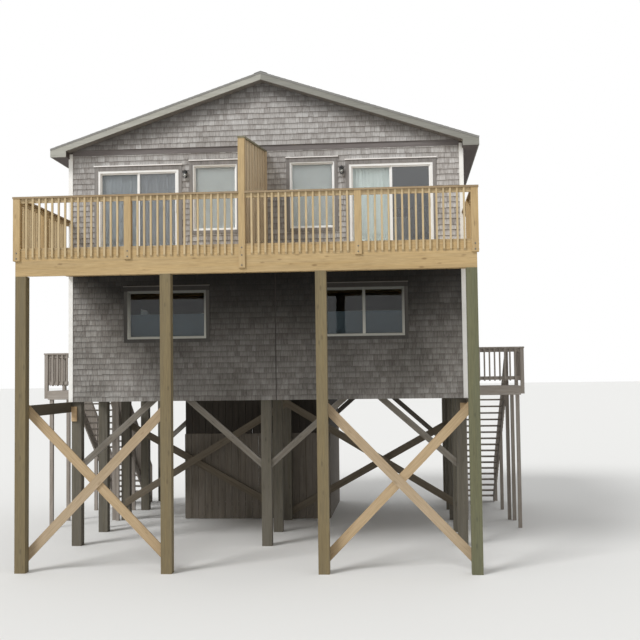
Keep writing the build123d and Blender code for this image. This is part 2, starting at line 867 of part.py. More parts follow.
def stair_rail(side):
    """A sloping handrail over the posts, with pickets between it and the stringer."""
    inner = stair_x + side * (stair_width / 2 + lumber)
    head = landing_rear_y
    foot = stair_foot_y
    top_z = landing_surface_z + handrail_rise
    outline = [(head, handrail_under_z(head)), (foot, handrail_under_z(foot)), (foot, on_slope(foot, top_z)),
               (head, top_z)]
    pieces = [prism_yz(outline, inner, inner + side * handrail_width)]
    starts = stair_post_starts()
    for first, second in zip(starts, starts[1:]):
        bay_start = first + landing_post
        for y in spaced(bay_start, second, int((second - bay_start) / picket_pitch)):
            near = y - picket_size / 2
            far = y + picket_size / 2
            low = landing_rim_top_z - picket_lap
            picket = [(near, on_slope(near, low)), (far, on_slope(far, low)), (far, handrail_under_z(far)),
                      (near, handrail_under_z(near))]
            pieces.append(prism_yz(picket, inner, inner + side * picket_size))
    return fused(pieces)


right_rail_posts = [front_rail_post(rail_post_x), corner_rail_post(), side_rail_post(side_post_y())]
right_stair_posts = stair_posts(-1) + stair_posts(1)
right_stair_rails = [stair_rail(-1), stair_rail(1)]
right_landing_posts = landing_wall_posts() + landing_outer_posts()
right_landing_rails = landing_rails()

parts = {
    "deck_posts": deck_posts(),
    "deck_beam": [deck_beam()],
    "deck_frame": [deck_frame()],
    "deck_floor": [deck_floor()],
    "rail_posts": right_rail_posts + [mirrored(post) for post in right_rail_posts],
    "front_rails": right_front_bays() + [mirrored(bay) for bay in right_front_bays()],
    "side_rails": right_side_bays() + [mirrored(bay) for bay in right_side_bays()],
    "rail_caps": both_sides(rail_cap()),
    "screen_post": [screen_post()],
    "screen_cap": [screen_cap()],
    "screen_wall_board": [screen_wall_end()],
    "privacy_screen": [screen_panel()],
    "cross_braces_near": deck_cross_braces(0),
    "cross_braces_far": deck_cross_braces(1),
    "tie_beams": both_sides(tie_beam()),
    "piling_cleats": both_sides(piling_cleat()),
    "pilings_left": pilings(-piling_x),
    "pilings_centre": pilings(0),
    "pilings_right": pilings(piling_x),
    "girders": girders(),
    "knee_braces": knee_braces(),
    "rear_cross_braces": rear_cross_braces(),
    "storage_walls": [storage_walls()],
    "floor_joists": [floor_frame()],
    "lower_floor": [lower_floor()],
    "upper_floor": [block(-inner_x, inner_x, wall_thickness, rear_inner_y, storey_split_z, upper_floor_z)],
    "upper_ceiling": [block(-inner_x, inner_x, wall_thickness, rear_inner_y, ceiling_z,
                            ceiling_z + ceiling_thickness)],
    "front_wall_lower": [front_lower_wall()],
    "front_wall_upper": [upper_across_wall(0, wall_thickness, "front")],
    "rear_wall_lower": [rear_lower_wall()],
    "rear_wall_upper": [upper_across_wall(rear_inner_y, house_depth, "rear")],
    "side_walls_lower": both_sides(right_lower_wall()),
    "side_walls_upper": both_sides(right_upper_wall()),
    "gables": [gable(0, 1), gable(house_depth, -1)],
    "gable_bands": [gable_band(0, 1), gable_band(house_depth, -1)],
    "roof_right": [roof_panel()],
    "roof_left": [mirrored(roof_panel())],
    "ridge_cap": [ridge_cap()],
    "rake_boards": [rake_pair(-rake_overhang), rake_pair(house_depth + rake_overhang - rake_thickness)],
    "fascias": both_sides(fascia()),
    "soffits": both_sides(soffit()),
    "corner_boards": both_sides(corner_board(0, -1)) + both_sides(corner_board(house_depth, 1)),
    "sliding_door_frames": [frame(opening) for opening in sliders],
    "front_window_frames": [frame(opening) for opening in front_windows],
    "other_frames": [frame(opening) for opening in other_openings],
    "front_casings": [casing(opening) for opening in front_openings],
    "other_casings": [casing(opening) for opening in other_openings],
    "drip_caps": [drip_cap(opening) for opening in front_openings + other_openings],
    "entry_doors": [entry_leaf(opening) for opening in entries],
    "front_glass": [pane for opening in front_openings for pane in panes(opening)],
    "other_glass": [pane for opening in other_windows for pane in panes(opening)],
    "lanterns": [lantern(-1), lantern(1)],
    "landings": both_sides(landing()),
    "landing_posts": right_landing_posts + [mirrored(post) for post in right_landing_posts],
    "landing_rails": right_landing_rails + [mirrored(rail) for rail in right_landing_rails],
    "landing_caps": both_sides(landing_cap()),
    "stairs": both_sides(stair_flight()),
    "stair_posts": right_stair_posts + [mirrored(post) for post in right_stair_posts],
    "stair_rails": right_stair_rails + [mirrored(rail) for rail in right_stair_rails],
}

os.makedirs("parts", exist_ok=True)
for name, pieces in parts.items():
    whole = Compound([solid for piece in pieces for solid in piece.solids()])
    export_step(whole.moved(Location((0, origin_shift, 0))), "parts/" + name + ".step")
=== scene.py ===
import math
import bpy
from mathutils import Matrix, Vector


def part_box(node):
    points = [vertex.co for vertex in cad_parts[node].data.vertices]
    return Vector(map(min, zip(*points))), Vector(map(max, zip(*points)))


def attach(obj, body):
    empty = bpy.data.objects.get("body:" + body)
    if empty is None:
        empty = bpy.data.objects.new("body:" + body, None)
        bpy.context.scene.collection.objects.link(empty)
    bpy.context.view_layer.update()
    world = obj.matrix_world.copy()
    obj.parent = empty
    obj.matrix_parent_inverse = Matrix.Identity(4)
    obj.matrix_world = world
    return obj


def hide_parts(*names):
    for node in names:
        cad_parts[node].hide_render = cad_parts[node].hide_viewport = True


bl_info = {
    "name": "Beach house on pilings",
    "version": (1, 0, 0),
    "blender": (4, 5, 0),
    "location": "View3D > Sidebar > Beach House",
    "description": "Shingles, boards, blinds, lanterns, bolts and finishes of a beach house on pilings",
    "category": "Object",
}

from functools import partial
from itertools import product

import bpy
import numpy as np
from mathutils import Matrix, Vector

# Metres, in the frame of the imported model: the deck lies towards -Y and the ground is Z = 0.
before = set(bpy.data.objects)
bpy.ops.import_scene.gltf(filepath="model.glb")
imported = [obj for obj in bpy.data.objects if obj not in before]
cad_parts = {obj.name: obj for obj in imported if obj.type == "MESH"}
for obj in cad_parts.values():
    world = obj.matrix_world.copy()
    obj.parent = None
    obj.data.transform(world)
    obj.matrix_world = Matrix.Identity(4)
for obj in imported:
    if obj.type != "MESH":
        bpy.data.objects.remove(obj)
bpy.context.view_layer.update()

# Places read from the part
FRONT_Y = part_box("front_wall_upper")[0].y
REAR_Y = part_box("rear_wall_upper")[1].y
SIDE_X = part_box("side_walls_upper")[1].x
SIDING_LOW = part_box("front_wall_lower")[0].z
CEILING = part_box("front_wall_upper")[1].z
SOFFIT_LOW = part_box("soffits")[0].z
EAVE_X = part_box("fascias")[1].x
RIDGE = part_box("roof_right")[1].z
RAKE_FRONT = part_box("rake_boards")[0].y
RAKE_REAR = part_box("rake_boards")[1].y
GABLE_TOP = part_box("gables")[1].z
GABLE_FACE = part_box("gables")[0].y
BAND_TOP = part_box("gable_bands")[1].z
UPPER_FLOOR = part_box("upper_floor")[1].z
LOWER_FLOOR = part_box("lower_floor")[1].z
DECK_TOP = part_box("deck_floor")[1].z
DECK_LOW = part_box("deck_frame")[0].z
DECK_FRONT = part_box("deck_floor")[0].y
LANDING_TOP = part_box("landings")[1].z

# Sizes of the part that its boxes don't show
PITCH = 1 / 3
EAVE_TOP = RIDGE - EAVE_X * PITCH
BAND_HEIGHT = 0.130
RIDGE_CAP_HALF = 0.150
CORNER_BOARD = 0.097
TRIM = 0.025
CASING = 0.080
HEAD_CASING = 0.105
DRIP_CAP_PROUD = 0.045
DRIP_CAP_END = 0.012
DOOR_EDGE = 0.055
WINDOW_EDGE = 0.025
SASH = 0.032
LUMBER = 0.038
RAIL_BOARD = 0.089
RAIL_POST_X = 2.300
DECK_JOIST_BAYS = 22
SCREEN_WALL_BOARD = 0.184
LANDING_SPAN = (2.800, 4.300)
LANDING_BOARD = 0.030
LANDING_POST = 0.089

# Rise over run of the braces, the distance from the middle at which the knee braces turn back, and
# the place along Y that parts the two layers of the crossed boards
BRACE_SLOPE = 1.03
KNEE_SLOPE = 0.8785
KNEE_TURN_X = 2.205
CROSSED_SLOPE = 0.577
CROSSED_SPLIT_Y = 1.495

# Outer sizes of the doors and windows, and their places above the floor and along their walls
LOW_WINDOW = (1.837, 1.112)
TALL_WINDOW = (1.027, 1.528)
SMALL_WINDOW = (1.027, 1.112)
SLIDER = (1.905, 2.037)
ENTRY = (1.000, 2.080)
LOW_SILL = 0.937
TALL_SILL = 0.591
SLIDER_X = 2.926
LOW_WINDOW_X = 2.270
TALL_WINDOW_X = 1.126
SIDE_NEAR = 2.200
SIDE_FAR = 6.400
ENTRY_ALONG = 3.550

# The upright seam in the shingles under the deck
SEAM_X = 0.251
SEAM_HALF = 0.010

# Seeds of the random widths and tones
WALL_SEED = 11
ROOF_SEED = 23
STORE_SEED = 5

# Shingles: thickness of the upper edge, the narrowest strips that are laid, kept beside an opening
# and kept under the roof, and the space to the roof
SHINGLE_TOP = 0.002
NARROWEST = 0.008
SLIVER = 0.004
GABLE_SLIVER = 0.010
ROOF_SPACE = 0.002

# Bevel on the edges of trim, vinyl and metal
EASE = 0.002

# Level blind slats: half width, thickness, pitch and place behind the wall's face
SLAT_HALF = 0.0125
SLAT_THICK = 0.0012
SLAT_PITCH = 0.021
SLAT_BACK = -0.118

# The camera that was fitted to the photo: place from the front wall, and its turns in degrees
CAMERA_X = 3.140
CAMERA_BEFORE = 23.322
CAMERA_Z = 3.837
CAMERA_TURNS = (4.587, 3.094, -0.712)
FLOOR_REACH = 400.0

# The soft lamp: how wide it looks and its turns, in degrees
KEY_ANGLE = 20
KEY_TURNS = (48, 0, -40)

# Settings of the nodes that mix two colours
MIX = {"data_type": "RGBA"}
MULTIPLY = {"data_type": "RGBA", "blend_type": "MULTIPLY"}


def linear(code):
    """An sRGB hex colour as linear red, green, blue and alpha."""
    values = [int(code[i:i + 2], 16) / 255 for i in (1, 3, 5)]
    return [v / 12.92 if v <= 0.04045 else ((v + 0.055) / 1.055) ** 2.4 for v in values] + [1.0]


def number(text, default, low, high, **settings):
    """A number whose name comes before the colon of its description."""
    return bpy.props.FloatProperty(name=text.split(":")[0], description=text, default=default, min=low,
                                   max=high, **settings)


def length(text, default):
    """A length from 0.5 mm to 5 m."""
    return number(text, default, 0.0005, 5.0, unit="LENGTH", subtype="DISTANCE", precision=4)


def colour(text, code):
    """A colour that starts as an sRGB hex colour."""
    return bpy.props.FloatVectorProperty(name=text.split(":")[0], description=text, size=4, min=0.0,
                                         max=1.0, subtype="COLOR", default=linear(code))


class ShingleSizes(bpy.types.PropertyGroup):
    """Wall shingles"""
    exposure: length("Exposure: height of each course of wall shingles", 0.127)
    narrow: length("Narrowest: width of the narrowest shingle", 0.075)
    wide: length("Widest: width of the widest shingle", 0.170)
    butt: length("Butt: thickness of a shingle at its lower edge", 0.017)
    gap: length("Gap: space between neighbouring shingles", 0.004)
    hang: length("Hang: most that a butt hangs below its course line", 0.024)
    pale: colour("Pale: silvered face of a shingle", "#C9C8C6")
    middle: colour("Middle: common tone of a shingle", "#AFACA9")
    dark: colour("Dark: stained shingle and its upper edge", "#857F7B")
    # Painted shade: the most brightness the shingles keep under the deck's painted shadow, which is lightest
    # by the left end
    shelter: number("Shelter: share of their brightness that unbleached shingles at the left edge of "
                    "the deck's shade keep", 0.72, 0.1, 1.0)


class RoofSizes(bpy.types.PropertyGroup):
    """Roof shingles"""
    exposure: length("Exposure: height of each course on the roof", 0.143)
    tab: length("Tab: width of a roof tab", 0.305)
    butt: length("Butt: thickness of a tab at its lower edge", 0.007)
    drip_edge: length("Drip edge: height of the strip along the top of the rake boards", 0.045)
    pale: colour("Pale: sunned granules", "#8C8A84")
    dark: colour("Dark: shaded granules", "#55534F")


class TimberSizes(bpy.types.PropertyGroup):
    """Decking, screen and store boards"""
    deck_rows: bpy.props.IntProperty(name="Deck rows", description="Rows of boards across the deck",
                                     default=22, min=4, max=60)
    deck_gap: length("Deck gap: space between deck boards", 0.005)
    screen_board: length("Screen board: width of a board of the privacy screen", 0.286)
    screen_gap: length("Screen gap: space between boards of one layer of the screen", 0.114)
    store_board: length("Store board: width of a board of the enclosure under the house", 0.184)
    store_tier: length("Store tier: height of the lower tier of the enclosure's boards", 2.300)
    ease: length("Eased edge: width of the bevel on a board's edges", 0.003)


class StageSettings(bpy.types.PropertyGroup):
    """Floor, light and camera"""
    floor: colour("Floor: plain pale floor", "#E4E4E2")
    sky: number("Sky: strength of the soft light from all round", 0.68, 0.0, 2.0)
    key: number("Key: strength of the soft lamp from the left", 1.9, 0.0, 10.0)
    lens: number("Lens: focal length on a sensor 36 mm wide", 57.97, 10.0, 200.0)


def add_node(tree, kind, inputs=None, out=0, stops=(), **settings):
    """Adds a shader node with its settings, its values or links, and its colour stops, and returns an
    output. A stop's colour is one grey value or all four values."""
    node = tree.nodes.new("ShaderNode" + kind)
    for name, value in settings.items():
        setattr(node, name, value)
    for name, value in (inputs or {}).items():
        if isinstance(value, bpy.types.NodeSocket):
            tree.links.new(value, node.inputs[name])
        else:
            node.inputs[name].default_value = value
    for index, (position, tone) in enumerate(stops):
        elements = node.color_ramp.elements
        element = elements[index] if index < 2 else elements.new(position)
        element.position = position
        element.color = tone if len(tone) == 4 else (*tone * 3, 1.0)
    return node.outputs[out]


def new_material(name, **shader):
    """A material with one Principled shader whose plain values are set on its own sockets, and
    add_node for its tree."""
    material = bpy.data.materials.new(name)
    material.use_nodes = True
    surface = material.node_tree.nodes["Principled BSDF"]
    for socket, value in shader.items():
        surface.inputs[socket.replace("_", " ")].default_value = value
    return material, partial(add_node, material.node_tree)


def covered(material, tone, height=None, strength=0.0, distance=0.0):
    """The material with a tone linked to its colour and a height linked to its normal."""
    tree = material.node_tree
    surface = tree.nodes["Principled BSDF"]
    tree.links.new(tone, surface.inputs["Base Color"])
    if height:
        bump = add_node(tree, "Bump", {"Height": height, "Strength": strength, "Distance": distance})
        tree.links.new(bump, surface.inputs["Normal"])
    return material


def timber(name, grain, pale, middle, dark, knots=0.5, weather=0.0, silver="#9A968E", roughness=0.75,
           lean=None, switch=None, tints=()):
    """Sawn softwood. Its grain runs along one axis (0, 1 or 2) as noise drawn out twenty times along it:
    growth rings 6 mm apart are drawn 18 mm apart so that they show, knots about 40 mm wide lie every
    half metre or so, and boards differ from each other by slow noise. Weathering lays a silver grey
    over it in long streaks. lean is the slope of boards that lean alike on both sides of the house, the
    distance from the middle at which they turn back, and the place along Y before which they lean the
    other way. switch is an axis, a limit and the grain of the boards below it. A tint is an axis,
    LESS_THAN, GREATER_THAN or COMPARE, a limit, a colour laid over the boards on that side of it, and
    for COMPARE how near."""
    ring_scale, streak_scale, board_scale = 55.0, 14.0, 6.0
    drawn_out, knot_scale = (1.0, 1.0, 0.05), (7.0, 7.0, 2.4)
    material, add = new_material(name, Roughness=roughness, IOR=1.5)
    place = add("TexCoord", out="Object")
    parts = [add("SeparateXYZ", {0: place}, axis) for axis in "XYZ"]
    if lean:
        slope, turning, flip = lean
        across = add("Math", {0: parts[0]}, operation="ABSOLUTE")
        rise = parts[2]
        if turning:
            across = add("Math", {0: across, 1: turning}, operation="SUBTRACT")
            across = add("Math", {0: across}, operation="ABSOLUTE")
            across = add("Math", {0: across, 1: -1.0}, operation="MULTIPLY")
        if flip:
            behind = add("Math", {0: parts[1], 1: flip}, operation="SUBTRACT")
            behind = add("Math", {0: behind}, operation="SIGN")
            rise = add("Math", {0: rise, 1: behind}, operation="MULTIPLY")
        leaning = add("CombineXYZ", {0: across, 1: parts[1], 2: rise})
        place = add("Mapping", {"Vector": leaning, "Rotation": (0, math.atan(slope), 0)})
        parts = [add("SeparateXYZ", {0: place}, axis) for axis in "XYZ"]
    upright = add("CombineXYZ", {i: parts[(grain + 1 + i) % 3] for i in range(3)})
    if switch:
        axis, limit, other = switch
        below = add("Math", {0: parts[axis], 1: limit}, operation="LESS_THAN")
        other_way = add("CombineXYZ", {i: parts[(other + 1 + i) % 3] for i in range(3)})
        upright = add("Mix", {0: below, 4: upright, 5: other_way}, 1, data_type="VECTOR")
    along = add("Mapping", {"Vector": upright, "Scale": drawn_out})
    rings = add("TexNoise", {"Vector": along, "Scale": ring_scale, "Detail": 5.0, "Roughness": 0.65,
                             "Distortion": 0.4})
    board = add("TexNoise", {"Vector": along, "Scale": board_scale, "Detail": 2.0})
    ring_tone = add("ValToRGB", {0: rings}, stops=[
        (0.30, linear(dark)), (0.50, linear(middle)), (0.70, linear(pale))])
    board_tone = add("ValToRGB", {0: board}, stops=[(0.32, linear(middle)), (0.66, linear(pale))])
    tone = add("Mix", {0: 0.45, 6: ring_tone, 7: board_tone}, 2, **MIX)
    spots = add("Mapping", {"Vector": upright, "Scale": knot_scale})
    knot = add("TexVoronoi", {"Vector": spots, "Scale": 1.0}, "Distance")
    knot = add("ValToRGB", {0: knot}, stops=[(0.08, (knots,)), (0.17, (0.0,))])
    tone = add("Mix", {0: knot, 6: tone, 7: linear(dark)}, 2, **MIX)
    if weather > 0:
        streak = add("TexNoise", {"Vector": along, "Scale": streak_scale, "Detail": 4.0})
        streak = add("ValToRGB", {0: streak}, stops=[(0.35, (0.0,)), (0.65, (weather,))])
        tone = add("Mix", {0: streak, 6: tone, 7: linear(silver)}, 2, **MIX)
    for axis, side, limit, shade, near in tints:
        beyond = add("Math", {0: parts[axis], 1: limit, 2: near}, operation=side)
        tone = add("Mix", {0: beyond, 6: tone, 7: linear(shade)}, 2, **MULTIPLY)
    return covered(material, tone, rings, strength=0.35, distance=0.002)


def painted_upper_light_and_shade(add, x, y, z):
    """Painted light and shade on the shingles in the open. On the gables a painted shade under the roof
    grows evenly from 40 % at the roof to all 0.5 m below it. On the right slope this dark band lies
    higher, as painted light from the left, by 0 at 1 m from the middle growing to 0.2 m at 2.5 m and
    beyond. Between 1 m and 0.5 m from the front's right corner painted light makes it grow by a
    quarter, and it stays so up to the corner."""
    dark_depth, dark_share = 0.5, 0.40
    across = add("Math", {0: x}, operation="ABSOLUTE")
    level = add("Math", {0: across, 1: PITCH, 2: z}, operation="MULTIPLY_ADD")
    painted_light_right_slope = add("MapRange", {0: x, 1: 1.0, 2: 2.5, 3: 0.0, 4: 0.2})
    level = add("Math", {0: level, 1: painted_light_right_slope}, operation="SUBTRACT")
    shade = add("MapRange", {0: level, 1: GABLE_TOP, 2: GABLE_TOP - dark_depth, 3: dark_share, 4: 1.0})
    below_band = add("Math", {0: z, 1: BAND_TOP - 0.01}, operation="LESS_THAN")
    shade = add("Math", {0: shade, 1: below_band}, operation="MAXIMUM")
    front = add("MapRange", {0: y, 1: FRONT_Y, 2: FRONT_Y + 0.08, 3: 1.0, 4: 0.0})
    painted_light_right_end = add("MapRange", {0: x, 1: SIDE_X - 1.0, 2: SIDE_X - 0.5, 3: 0.0, 4: 0.25})
    gain = add("Math", {0: painted_light_right_end, 1: front, 2: 1.0}, operation="MULTIPLY_ADD")
    return add("Math", {0: shade, 1: gain}, operation="MULTIPLY")


def painted_deck_light_and_shade(add, x, z, shelter):
    """Painted light and shade on the shingles under the deck: the deck's painted shadow. At the left end
    they keep the share called shelter as painted sunlight up to a soft line that falls
    0.63 m for each metre inward, and a tenth of that above it. From 1.2 m to 2.6 m in, this turns into
    painted shade whose shares fall towards the deck. The last 2.4 m at the right grow up to 45 % paler,
    and the last metre by 65 % more, except near the foot of the wall, as painted light."""
    fall = 0.63
    shares = ((0.0, 0.80), (0.38, 0.52), (0.56, 0.36), (0.72, 0.185), (0.95, 0.05))
    climb = add("MapRange", {0: z, 1: SIDING_LOW, 2: DECK_LOW})
    inside = add("ValToRGB", {0: climb}, stops=[(level, (share * shelter,)) for level, share in shares])
    slant = add("Math", {0: x, 1: fall, 2: z}, operation="MULTIPLY_ADD")
    line = DECK_LOW - fall * SIDE_X
    edge = add("MapRange", {0: slant, 1: line - 0.8, 2: line + 0.3, 3: shelter, 4: 0.1 * shelter})
    inward = add("MapRange", {0: x, 1: 1.2 - SIDE_X, 2: 2.6 - SIDE_X})
    shade = add("Mix", {0: inward, 6: edge, 7: inside}, 2, **MIX)
    broad = add("MapRange", {0: x, 1: SIDE_X - 2.4, 2: SIDE_X, 3: 1.0, 4: 1.45})
    narrow = add("MapRange", {0: x, 1: SIDE_X - 1.0, 2: SIDE_X - 0.3, 3: 0.0, 4: 0.65})
    lifted = add("MapRange", {0: climb, 1: 0.0, 2: 0.35})
    gain = add("Math", {0: narrow, 1: lifted, 2: broad}, operation="MULTIPLY_ADD")
    return add("Mix", {0: 1.0, 6: shade, 7: gain}, 2, **MULTIPLY)


def cedar_shingles(name, pale, middle, dark, shelter=None):
    """White cedar shingles, split and left to weather: silvery faces with a little pink left in the
    brown, each shingle in its own tone, upright grain 5 mm wide drawn 20 mm wide so that it shows,
    darker towards the course above, partly dirt and partly painted shade under the butts, and stains
    that run over many courses. Shingles given a shelter hang under the deck and carry the
    deck's painted shadow: warmer, and keeping that share of their brightness at most."""
    grain_scale, stain_scale, drawn_out = 50.0, 0.9, (1.0, 1.0, 0.12)
    material, add = new_material(name, Roughness=0.85, IOR=1.45)
    place = add("TexCoord", out="Object")
    x, y, z = (add("SeparateXYZ", {0: place}, axis) for axis in "XYZ")
    own, rise = (add("Attribute", out="Fac", attribute_name=label) for label in ("tone", "rise"))
    drawn = add("Mapping", {"Vector": place, "Scale": drawn_out})
    grain = add("TexNoise", {"Vector": drawn, "Scale": grain_scale, "Detail": 4.0})
    stain = add("TexNoise", {"Vector": place, "Scale": stain_scale, "Detail": 5.0})
    mixed = add("Math", {0: own, 1: 0.22, 2: 0.11}, operation="MULTIPLY_ADD")
    mixed = add("Math", {0: grain, 1: 0.62, 2: mixed}, operation="MULTIPLY_ADD")
    tone = add("ValToRGB", {0: mixed}, stops=[(0.28, dark), (0.52, middle), (0.74, pale)])
    # Darker towards the top of each shingle: partly dirt, partly painted shade under the butts above
    dirt_and_butt_shade = add("ValToRGB", {0: rise}, stops=[(0.5, (0.0,)), (1.0, (0.8,))])
    tone = add("Mix", {0: dirt_and_butt_shade, 6: tone, 7: dark}, 2, **MIX)
    # Under the deck the stains are darker and both stops warmer, as part of the painted deck shadow
    stained = (0.70, 0.685, 0.65, 1.0) if shelter else (0.86, 0.85, 0.84, 1.0)
    fresh = (1.0, 0.985, 0.955, 1.0) if shelter else (1.0, 1.0, 1.0, 1.0)
    patches = add("ValToRGB", {0: stain}, stops=[(0.38, stained), (0.62, fresh)])
    # Painted light and shade: the deck's shadow below it, the roof's shade and the pale right end above it
    shade = painted_deck_light_and_shade(add, x, z, shelter) if shelter else painted_upper_light_and_shade(add, x, y, z)
    for factor in (patches, shade):
        tone = add("Mix", {0: 1.0, 6: tone, 7: factor}, 2, **MULTIPLY)
    return covered(material, tone, grain, strength=0.4, distance=0.003)


def asphalt_shingles(settings):
    """Mineral granules 1 to 2 mm wide on asphalt, drawn 8 mm wide so that they show, with each tab
    in its own tone: a matt, speckled grey."""
    speck_scale = 120.0
    material, add = new_material("Granule-faced roof shingle", Roughness=0.92, IOR=1.5)
    place = add("TexCoord", out="Object")
    own = add("Attribute", out="Fac", attribute_name="tone")
    speck = add("TexNoise", {"Vector": place, "Scale": speck_scale, "Detail": 2.0})
    mixed = add("Math", {0: own, 1: 0.16, 2: 0.15}, operation="MULTIPLY_ADD")
    mixed = add("Math", {0: speck, 1: 0.65, 2: mixed}, operation="MULTIPLY_ADD")
    tone = add("ValToRGB", {0: mixed}, stops=[(0.35, settings.dark[:]), (0.75, settings.pale[:])])
    return covered(material, tone, speck, strength=0.5, distance=0.002)


def painted(name, clean, worn, roughness, amount=0.5, painted_shade_colour=None):
    """Exterior paint on boards, or moulded vinyl: an even tone that has dulled in soft patches about
    0.3 m across, with fine brush or mould marks. painted_shade_colour is the greyer colour of what
    stands on the front wall below the deck, partly weathering and partly painted shade of the deck; as
    painted shade it falls to a fifth from the low windows' sills to their heads."""
    patch_scale, mark_scale = 3.5, 160.0
    material, add = new_material(name, Roughness=roughness, IOR=1.5)
    place = add("TexCoord", out="Object")
    patch = add("TexNoise", {"Vector": place, "Scale": patch_scale, "Detail": 5.0})
    patch = add("ValToRGB", {0: patch}, stops=[(0.42, (0.0,)), (0.75, (amount,))])
    tone = add("Mix", {0: patch, 6: linear(clean), 7: linear(worn)}, 2, **MIX)
    # Painted shade of the deck on the front below it, partly weathering
    if painted_shade_colour:
        y, z = (add("SeparateXYZ", {0: place}, axis) for axis in "YZ")
        before = add("Math", {0: y, 1: FRONT_Y + 0.2}, operation="LESS_THAN")
        below = add("Math", {0: z, 1: DECK_LOW}, operation="LESS_THAN")
        painted_shade_mask = add("Math", {0: before, 1: below}, operation="MULTIPLY")
        sill = LOWER_FLOOR + LOW_SILL
        fade = add("MapRange", {0: z, 1: sill, 2: sill + LOW_WINDOW[1], 3: 0.95, 4: 0.20})
        painted_shade_tone = add("Mix", {0: 1.0, 6: linear(painted_shade_colour), 7: fade}, 2, **MULTIPLY)
        tone = add("Mix", {0: painted_shade_mask, 6: tone, 7: painted_shade_tone}, 2, **MIX)
    marks = add("TexNoise", {"Vector": place, "Scale": mark_scale, "Detail": 2.0})
    return covered(material, tone, marks, strength=0.15, distance=0.001)


def clear_glass(name):
    """Float glass of a window: smooth and clear, with a weak mirror image. Its IOR of 1.52 is brought
    down, because the stage that it mirrors is far brighter than the dunes before the real house."""
    return new_material(name, Base_Color=linear("#FAFDFD"), Roughness=0.01, IOR=1.34,
                        Transmission_Weight=1.0)[0]


def insect_screen():
    """Grey glass-fibre mesh with wires 1.5 mm apart, too fine to show, so it is an even half-clear grey."""
    return new_material("Glass-fibre insect screen", Base_Color=linear("#A8ACB1"), Roughness=0.8,
                        Alpha=0.20)[0]


def steel():
    """Hot-dipped galvanised steel, dulled by salt air to a soft grey with faint spangles 5 mm wide. All
    fasteners and knobs share it."""
    name, spangle_scale = "Galvanised steel", 180.0
    if name in bpy.data.materials:
        return bpy.data.materials[name]
    material, add = new_material(name, Metallic=0.9, Roughness=0.55)
    place = add("TexCoord", out="Object")
    spangle = add("TexVoronoi", {"Vector": place, "Scale": spangle_scale}, "Distance")
    tone = add("ValToRGB", {0: spangle}, stops=[(0.1, linear("#5C5953")), (0.7, linear("#7F7D78"))])
    return covered(material, tone)


def joined(meshes):
    """Several vertex and face lists as one."""
    vertices, faces, count = [], [], 0
    for points, polygons in meshes:
        vertices.append(points)
        faces.extend([[i + count for i in polygon] for polygon in polygons])
        count += len(points)
    return np.concatenate(vertices), faces


def add_piece(name, mesh_data, material, slot, replaced=(), **attributes):
    """A new object at the origin that rides on the house, with its place in its mesh."""
    vertices, faces = mesh_data
    mesh = bpy.data.meshes.new(name)
    mesh.from_pydata(vertices.tolist(), [], faces)
    for label, values in attributes.items():
        layer = mesh.attributes.new(label, "FLOAT", "POINT")
        layer.data.foreach_set("value", np.asarray(values, np.float32))
    mesh.materials.append(material)
    mesh.update()
    piece = bpy.data.objects.new(name, mesh)
    bpy.context.scene.collection.objects.link(piece)
    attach(piece, "root")
    if replaced:
        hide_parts(*replaced)
    return piece


def carried(rings):
    """Closed outlines carried along a path. rings has the shape (pieces, stations, points, 3), each
    outline runs anticlockwise seen from the far end, side faces join neighbouring stations, and the
    first and last outlines are closed with a face."""
    pieces, stations, points = rings.shape[:3]
    index = np.arange(pieces * stations * points).reshape(pieces, stations, points)
    after = np.roll(index, -1, axis=2)
    sides = np.stack([index[:, :-1], after[:, :-1], after[:, 1:], index[:, 1:]], axis=-1).reshape(-1, 4)
    ends = np.concatenate([index[:, 0, ::-1], index[:, -1]])
    return rings.reshape(-1, 3), sides.tolist() + ends.tolist()


def eased_outline(half_a, half_b, ease):
    """An oblong outline with cut corners: at each corner one point stands ease short of it on each side."""
    a, b = half_a, half_b
    corners = [(a, ease - b), (a, b - ease), (a - ease, b), (ease - a, b),
               (-a, b - ease), (-a, ease - b), (ease - a, -b), (a - ease, -b)]
    return np.stack([np.stack(np.broadcast_arrays(u, v), axis=-1) for u, v in corners], axis=-2)


def boards(low, high, along, ease):
    """Boards with eased edges between arrays of opposite corners. Each has four stations along its
    length: a face drawn in by the ease, the full outline, the full outline again and the other face."""
    low, high = np.atleast_2d(low).astype(float), np.atleast_2d(high).astype(float)
    centre, half = (low + high) / 2, (high - low) / 2
    across, up = (along + 1) % 3, (along + 2) % 3
    full = eased_outline(half[:, across], half[:, up], ease)
    small = eased_outline(half[:, across] - ease, half[:, up] - ease, ease / 2)
    rings = np.zeros((len(low), 4, 8, 3))
    for station, (outline, reach) in enumerate(((small, -1.0), (full, -1.0), (full, 1.0), (small, 1.0))):
        inset = ease if outline is full else 0.0
        rings[:, station, :, across] = outline[:, :, 0]
        rings[:, station, :, up] = outline[:, :, 1]
        rings[:, station, :, along] = reach * (half[:, along] - inset)[:, None]
    return carried(rings + centre[:, None, None, :])


def turned(radii, heights, centres, sides):
    """A profile of radii and heights turned round Z in a few flat sides, at each centre."""
    angle = np.arange(sides) * 2 * math.pi / sides
    ring = np.zeros((len(radii), sides, 3))
    ring[:, :, 0] = np.outer(radii, np.cos(angle))
    ring[:, :, 1] = np.outer(radii, np.sin(angle))
    ring[:, :, 2] = np.asarray(heights, float)[:, None]
    return carried(ring[None] + np.atleast_2d(centres)[:, None, None, :])


